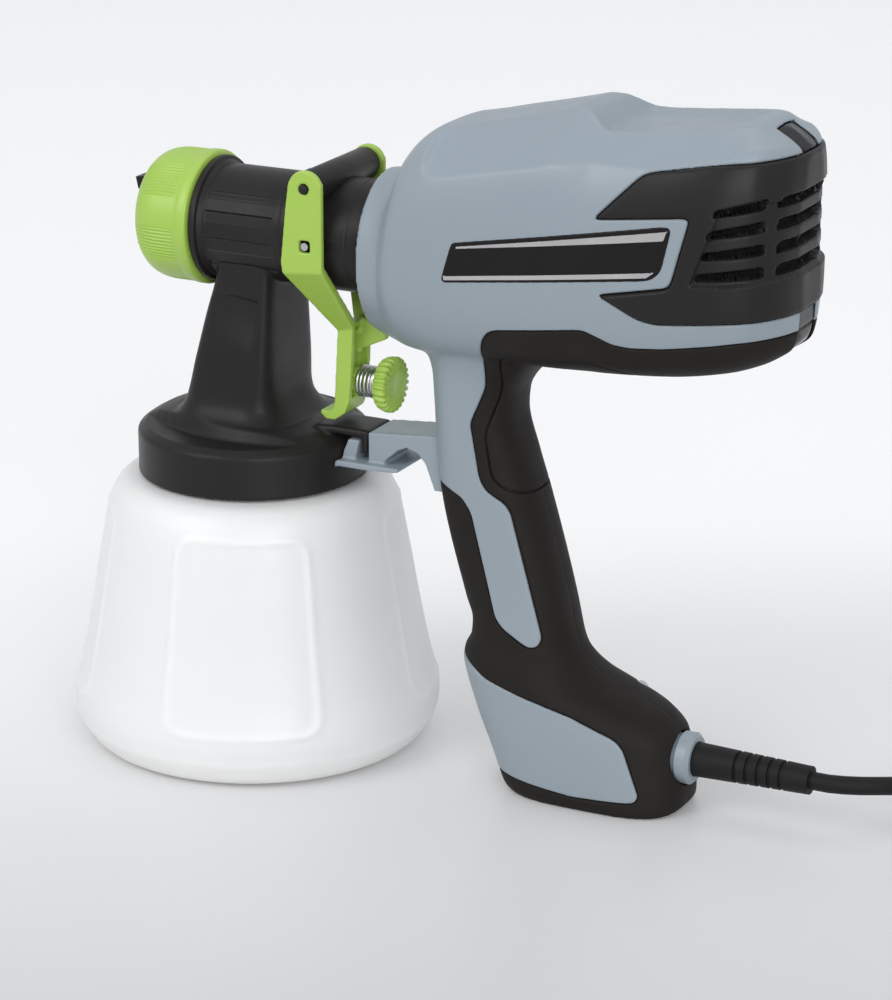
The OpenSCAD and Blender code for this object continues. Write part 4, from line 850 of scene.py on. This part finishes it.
def head_barrel():
    """The barrel with its panels, collars and the slots for the needle's cross pin."""
    def facets(r, x, a):
        """Flat panels with fine grooves between them along the barrel's two sides."""
        d = math.degrees(a) % 180
        d = d if d < 90 else d - 180  # 0 points sideways
        if abs(d) > 44:
            return r
        off = (d + 7) % 14 - 7
        k = round((d - off) / 14)
        flat = (21.35 - 0.28 * (k % 2)) / math.cos(math.radians(off))
        groove = 0.4 * (1 - step(abs(abs(off) - 7), 0.5, 1.1))
        w = step(x, -8.4, -7.8) * (1 - step(x, 21 - 0.8 * (k % 2), 21.6 - 0.8 * (k % 2))) * (1 - step(abs(d), 41.5, 43))
        return np.where((r < 21.6) & (r > 21), r + (flat - 0.15 - groove - r) * w, r)

    prof = [(18.6, -24), (20.2, -24), (20.4, -23.6), (20.4, -13.8), (23.6, -13.5), (24.1, -13.2), (24.2, -12.8),
            (24.2, -11.6), (23.9, -11.1), (23.2, -10.9), (22.6, -10.8), (22.2, -10.2), (21.7, -9.6), (21.4, -9.2)]
    prof += [(21.4, x) for x in (-8.8, -8.6, -8.2, -7.8, -4, 4, 12, 20, 21.4, 21.8, 22.2, 22.4)]
    prof += [(21.4, 24.2), (21.6, 24.8), (22.6, 25), (23, 25.4), (23, 29.8), (22.7, 30.3), (22, 30.5), (21.8, 30.9),
             (21.8, 52), (21.6, 52.3), (21.6, 53), (21.8, 53.3), (21.8, 75.4), (21.4, 76), (19.4, 76)]
    co, quads = lathe(prof, 360, "x", (0, 0, BARREL_Z), facets)
    tri = np.array([t for q in quads for t in ((q[0], q[1], q[2]), (q[0], q[2], q[3]))])
    pin_slot = where_else_far(lambda p: np.abs(p[:, 1]) > 14,
                              lambda p: np.maximum(np.abs(p[:, 0] - 40.3) - 4.5, np.abs(p[:, 2] - BARREL_Z) - 2))
    co, tri = cut(co, tri, pin_slot, 0)
    vn = normals(co, tri)
    if (vn[:, 1] * co[:, 1]).mean() < 0:
        tri, vn = tri[:, ::-1], -vn
    me = patch("head_barrel", co, tri, vn, pin_slot(co[tri].mean(1)) > 0, 1.6)
    smooth(link_object("head_barrel", me, "housing", (), (BLACK,)), 24)


def across(name, profile, n, replaces, angle):
    """A piece turned round the trigger's pivot, which runs along Y."""
    c, f = lathe(profile, n)
    c = np.stack([c[:, 0] + PIVOT_X, c[:, 2], c[:, 1] + PIVOT_Z], 1)
    smooth(link_object(name, array_mesh(name, c, f), "housing", replaces, (BLACK,)), angle)


def pivot_tube():
    tube = [(2, -23.5), (5.4, -23.5), (6.0, -23.2), (6.2, -22.6), (6.2, 22.6), (6.0, 23.2), (5.4, 23.5), (2, 23.5)]
    across("pivot_tube", tube, 72, (), 40)


CUP_OUT = [(60, 0), (65, 1.6), (69.1, 6.4), (71.9, 12), (72.5, 17.4), (71.9, 22), (69.3, 32), (64.5, 56), (59.9, 82),
           (56.5, 98), (53.1, 104.4), (48.5, 107.6), (42.6, 108.4)]


def cup():
    """The blow-moulded cup: a smooth lathe with a soft bead round each of its four side panels."""
    p = np.array(CUP_OUT)
    s = np.concatenate([[0], np.cumsum(np.hypot(*np.diff(p, axis=0).T))])
    si = np.linspace(0, s[-1], 150)
    r, z = pchip(s, p[:, 0], si), pchip(s, p[:, 1], si)
    out = [(0, 0.5), (40, 0.45), (57, 0.3), (59.4, 0)] + list(zip(r, z))
    out += [(41.2, 108.6), (40.6, 109.6), (40.6, 121.6), (40.2, 122)]
    wall = 1.8
    inner = [(39.2, 122), (38.8, 121.6), (38.8, 107.4)]
    inner += [(a - wall, b) for a, b in zip(r[::-1], z[::-1]) if 14 < b < 106.6]
    inner += [(66, 10), (60, 4), (54, 2.6), (0, 2.4)]
    prof = np.array(out + inner)
    n, m = 384, len(prof)
    R, Z = np.tile(prof[:, 0], (n, 1)), np.tile(prof[:, 1], (n, 1))
    A = np.degrees(np.linspace(0, 2 * np.pi, n, endpoint=False))[:, None] * np.ones(m)
    outer = np.arange(m) < len(out)
    # The distance to a rounded panel: half its angle, the radius that turns angles into mm, corners, half height
    half, mean_r, corner, high = 26.8, 62, 9, 38.9
    u = np.radians(np.abs(((A + 92.4) % 90) - half)) * mean_r
    v = np.abs(Z - 59.5)
    qx, qy = u - (math.radians(half) * mean_r - corner), v - (high - corner)
    d = np.hypot(np.maximum(qx, 0), np.maximum(qy, 0)) + np.minimum(np.maximum(qx, qy), 0) - corner
    bead = 0.5 * np.exp(-((d + 1.8) / 1.6) ** 2)
    R = R + np.where(outer & (Z > 10) & (Z < 104), bead, 0)
    turn = np.radians(A)
    co = np.stack([R * np.cos(turn), R * np.sin(turn), Z], 2).reshape(-1, 3)
    me = array_mesh("blown_cup", co, turned_faces(n, m))
    o = link_object("blown_cup", me, "paint_cup", ("paint_cup",), (CUP,))
    cleaned(o)
    smooth(o, 50)


def turned(name, profile, body, replaces, mat, n, at, shape, angle, carve=None):
    """A piece turned round the X axis; shape bends its radius, and carve moves its points."""
    c, f = lathe(profile, n, "x", at, shape)
    c = carve(c) if carve else c
    o = link_object(name, array_mesh(name, c, f), body, replaces, (mat,))
    cleaned(o)
    smooth(o, angle)


def cap_ring():
    """The domed clamping ring, with six groups of fine flutes."""
    def flutes(r, x, a):
        up = math.degrees(math.atan2(-math.sin(a), math.cos(a)))
        d = (up - 104 + 30) % 60 - 30
        w = (1 - step(abs(d), 15.2, 16.4)) * step(x, 2.2, 3.4) * (1 - step(x, 19.2, 20.2))
        groove = 0.5 - 0.5 * math.cos(2 * math.pi * (d + 1.6) / 3.2)
        return np.where(r > 21.9, r - 0.42 * w * groove, r)

    prof = [(15.2, 3), (15.2, 0.5), (15.5, 0.1), (16, 0), (17.4, 0.05), (19.2, 0.5), (21, 1.4), (22, 2.2), (22.6, 2.8),
            (23.2, 3.5), (23.8, 4.4), (24.4, 5.6), (24.9, 7), (25.3, 8.8), (25.55, 11), (25.6, 14), (25.6, 19),
            (25.6, 19.7), (25.6, 20.4), (25.65, 21), (25.85, 21.5), (26, 22), (26, 24.8), (25.85, 25.4),
            (25.4, 25.85), (24.8, 26), (21.8, 26), (21.8, 9.6), (20.6, 3), (15.2, 3)]
    turned("fluted_ring", prof, "cap_ring", ("cap_ring",), LIME, 900, (CAP_FRONT, 0, BARREL_Z), flutes, 50)


def knob():
    """The domed flow knob with its stem."""
    x0 = PIVOT_X + 3.4
    face = 15.4  # where the head begins, from the stem's end

    def flutes(r, x, a):
        groove = (0.5 + 0.5 * math.cos(24 * a)) ** 1.4
        return np.where(r > 7, r - 0.8 * groove * step(r, 7.4, 9.2), r)

    def ribs(co):
        """Ribs that run in over the face from the flutes."""
        y, z = co[:, 1], co[:, 2] - KNOB_Z
        r = np.hypot(y, z)
        wave = 0.5 + 0.5 * np.cos(24 * np.arctan2(z, y))
        on_face = co[:, 0] > x0 + face + 4
        depth = 0.55 * wave * step(r, 4.6, 6) * (1 - step(r, 9.4, 10.2))
        return co - np.outer(np.where(on_face, depth, 0), [1, 0, 0])

    cap = [(5.5, 0), (8.2, 0), (9.2, 0.3), (10, 1), (10.5, 2.2), (10.8, 3.6), (10.9, 4.8), (10.7, 5.6), (10.2, 6.2),
           (9.4, 6.5), (8.8, 6.58), (8.2, 6.6), (7.6, 6.6), (7, 6.6), (6.4, 6.6), (5.8, 6.6), (5.2, 6.6), (4.8, 6.55),
           (4.4, 6.35), (4.2, 6.2), (0, 6.2)]
    prof = [(0, 0), (2.3, 0), (2.5, 0.3), (2.5, face - 0.2)] + [(r, face + x) for r, x in cap]
    turned("fluted_knob", prof, "flow_knob", ("flow_knob",), LIME, 480, (x0, 0, KNOB_Z), flutes, 45, ribs)


def coil_spring(name, node, body, start, end, z, r, wire, turns):
    """A drawn-wire spring along X with closed ends."""
    n, k = 40 * turns, 12
    t = np.linspace(0, turns, n + 1)
    pitch = (end - start - 6 * wire) / (turns - 2)
    reach = [0, 2 * wire, 2 * wire + pitch * (turns - 2), end - start - 2 * wire]
    x = start + wire + np.interp(t, [0, 1, turns - 1, turns], reach)
    out = np.stack([0 * t, np.sin(2 * math.pi * t), np.cos(2 * math.pi * t)], 1)
    path = np.stack([x, r * out[:, 1], z + r * out[:, 2]], 1)
    rings = []
    angles = [2 * math.pi * j / k for j in range(k)]
    for i, c in enumerate(path):
        d = path[min(i + 1, n)] - path[max(i - 1, 0)]
        side = np.cross(d / np.linalg.norm(d), out[i])
        rings.append([c + wire * (math.cos(a) * out[i] + math.sin(a) * side) for a in angles])
    o = link_object(name, array_mesh(name, *loft_mesh(np.array(rings))), body, (node,), (STEEL,))
    smooth(o, 50)
    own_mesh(o)


def pin():
    """The trigger's pin with its small domed heads."""
    prof = [(0, -PIN_END - 0.9), (0.8, -PIN_END - 0.85), (1.5, -PIN_END - 0.6), (1.8, -PIN_END - 0.2),
            (1.9, -PIN_END + 0.4)]
    across("hinge_pin", prof + [(r, -y) for r, y in prof[::-1]], 48, ("trigger_pin",), 60)


body_pieces()
bracket()
head_lid()
head_barrel()
pivot_tube()
cup()
cap_ring()
knob()
coil_spring("wire_spring", "knob_spring", "trigger", 47.65, 55.55, KNOB_Z, 5.75, 0.5, 5)
coil_spring("return_spring", "needle_spring", "housing", 44.25, 62.15, BARREL_Z, 4.3, 0.6, 8)
pin()
softened("moulded_trigger", "trigger", 0.4, 12, "trigger", LIME)


# ---------------------------------------------------------------- stage and light
def stage():
    """A floor that curves up into a backdrop, square to the camera, with painted shade that darkens it from pale at the
    back to grey towards the front. Lengths in metres.
    """
    half_width, depth, cove_r, height = 7, 6, 2, 5
    bm = bmesh.new()
    prof = [(-depth, 0), (depth, 0)]
    for i in range(1, 13):
        a = math.pi / 2 * i / 12
        prof.append((depth + cove_r * math.sin(a), cove_r * (1 - math.cos(a))))
    prof.append((depth + cove_r, height))
    rows = []
    for x in (-half_width, half_width):
        rows.append([bm.verts.new((x, y, z - 0.0002)) for y, z in prof])
    for i in range(len(prof) - 1):
        bm.faces.new((rows[0][i], rows[1][i], rows[1][i + 1], rows[0][i + 1]))
    me = bpy.data.meshes.new("floor")
    bm.to_mesh(me)
    bm.free()
    o = bpy.data.objects.new("floor", me)
    o.rotation_euler = (0, 0, math.radians(AZIMUTH))
    bpy.context.scene.collection.objects.link(o)
    for p in me.polygons:
        p.use_smooth = True
    m = Shader("floor")
    # Painted shade: the floor's colour falls from near white at the backdrop to grey in front of the object and towards
    # the camera
    painted_floor_shade = [(0, (0.5, 0.502, 0.51)), (0.3, (0.88, 0.88, 0.88)), (1, (0.96, 0.96, 0.96))]
    m.link(m.ramp(m.along("Y", -0.25, 1.5), painted_floor_shade), m.main.inputs["Base Color"])
    m.normal(m.bump(m.noise(900, 2), 0.05, 0.0001))
    # A little more light where the floor is seen or mirrored
    path = m.node("ShaderNodeLightPath")
    seen = m.node("ShaderNodeMath")
    m.link(path.outputs["Is Camera Ray"], seen.inputs[0])
    m.link(path.outputs["Is Glossy Ray"], seen.inputs[1])
    glow = m.node("ShaderNodeMath")
    glow.operation = "MULTIPLY"
    m.link(seen.outputs["Value"], glow.inputs[0])
    glow.inputs[1].default_value = 0.09
    m.link(glow.outputs["Value"], m.main.inputs["Emission Strength"])
    m.main.inputs["Emission Color"].default_value = (1, 1, 1, 1)
    m.main.inputs["Roughness"].default_value = 0.35
    m.main.inputs["Specular IOR Level"].default_value = 0.35
    me.materials.append(m.material)


def area(name, at, look, size, power):
    lamp = bpy.data.lights.new(name, "AREA")
    lamp.shape = "RECTANGLE"
    lamp.size, lamp.size_y = size
    lamp.energy = power
    o = bpy.data.objects.new(name, lamp)
    o.location = at
    o.rotation_euler = (Vector(look) - Vector(at)).to_track_quat("-Z", "Y").to_euler()
    bpy.context.scene.collection.objects.link(o)


def lights():
    w = bpy.data.worlds.new("world")
    bpy.context.scene.world = w
    w.use_nodes = True
    bg = w.node_tree.nodes["Background"]
    bg.inputs["Color"].default_value = (0.95, 0.97, 1.0, 1)
    bg.inputs["Strength"].default_value = 0.72
    area("key", (-0.9, -1.6, 1.4), (0, 0, 0.12), (1.2, 1.2), 15.5)
    area("top", (0.2, 0.5, 2.0), (0, 0, 0.1), (1.6, 1.2), 5)
    area("side", (1.3, -1.5, 0.75), (0, 0, 0.15), (0.9, 1.2), 15)


stage()
lights()
bpy.context.scene.view_settings.view_transform = "Standard"
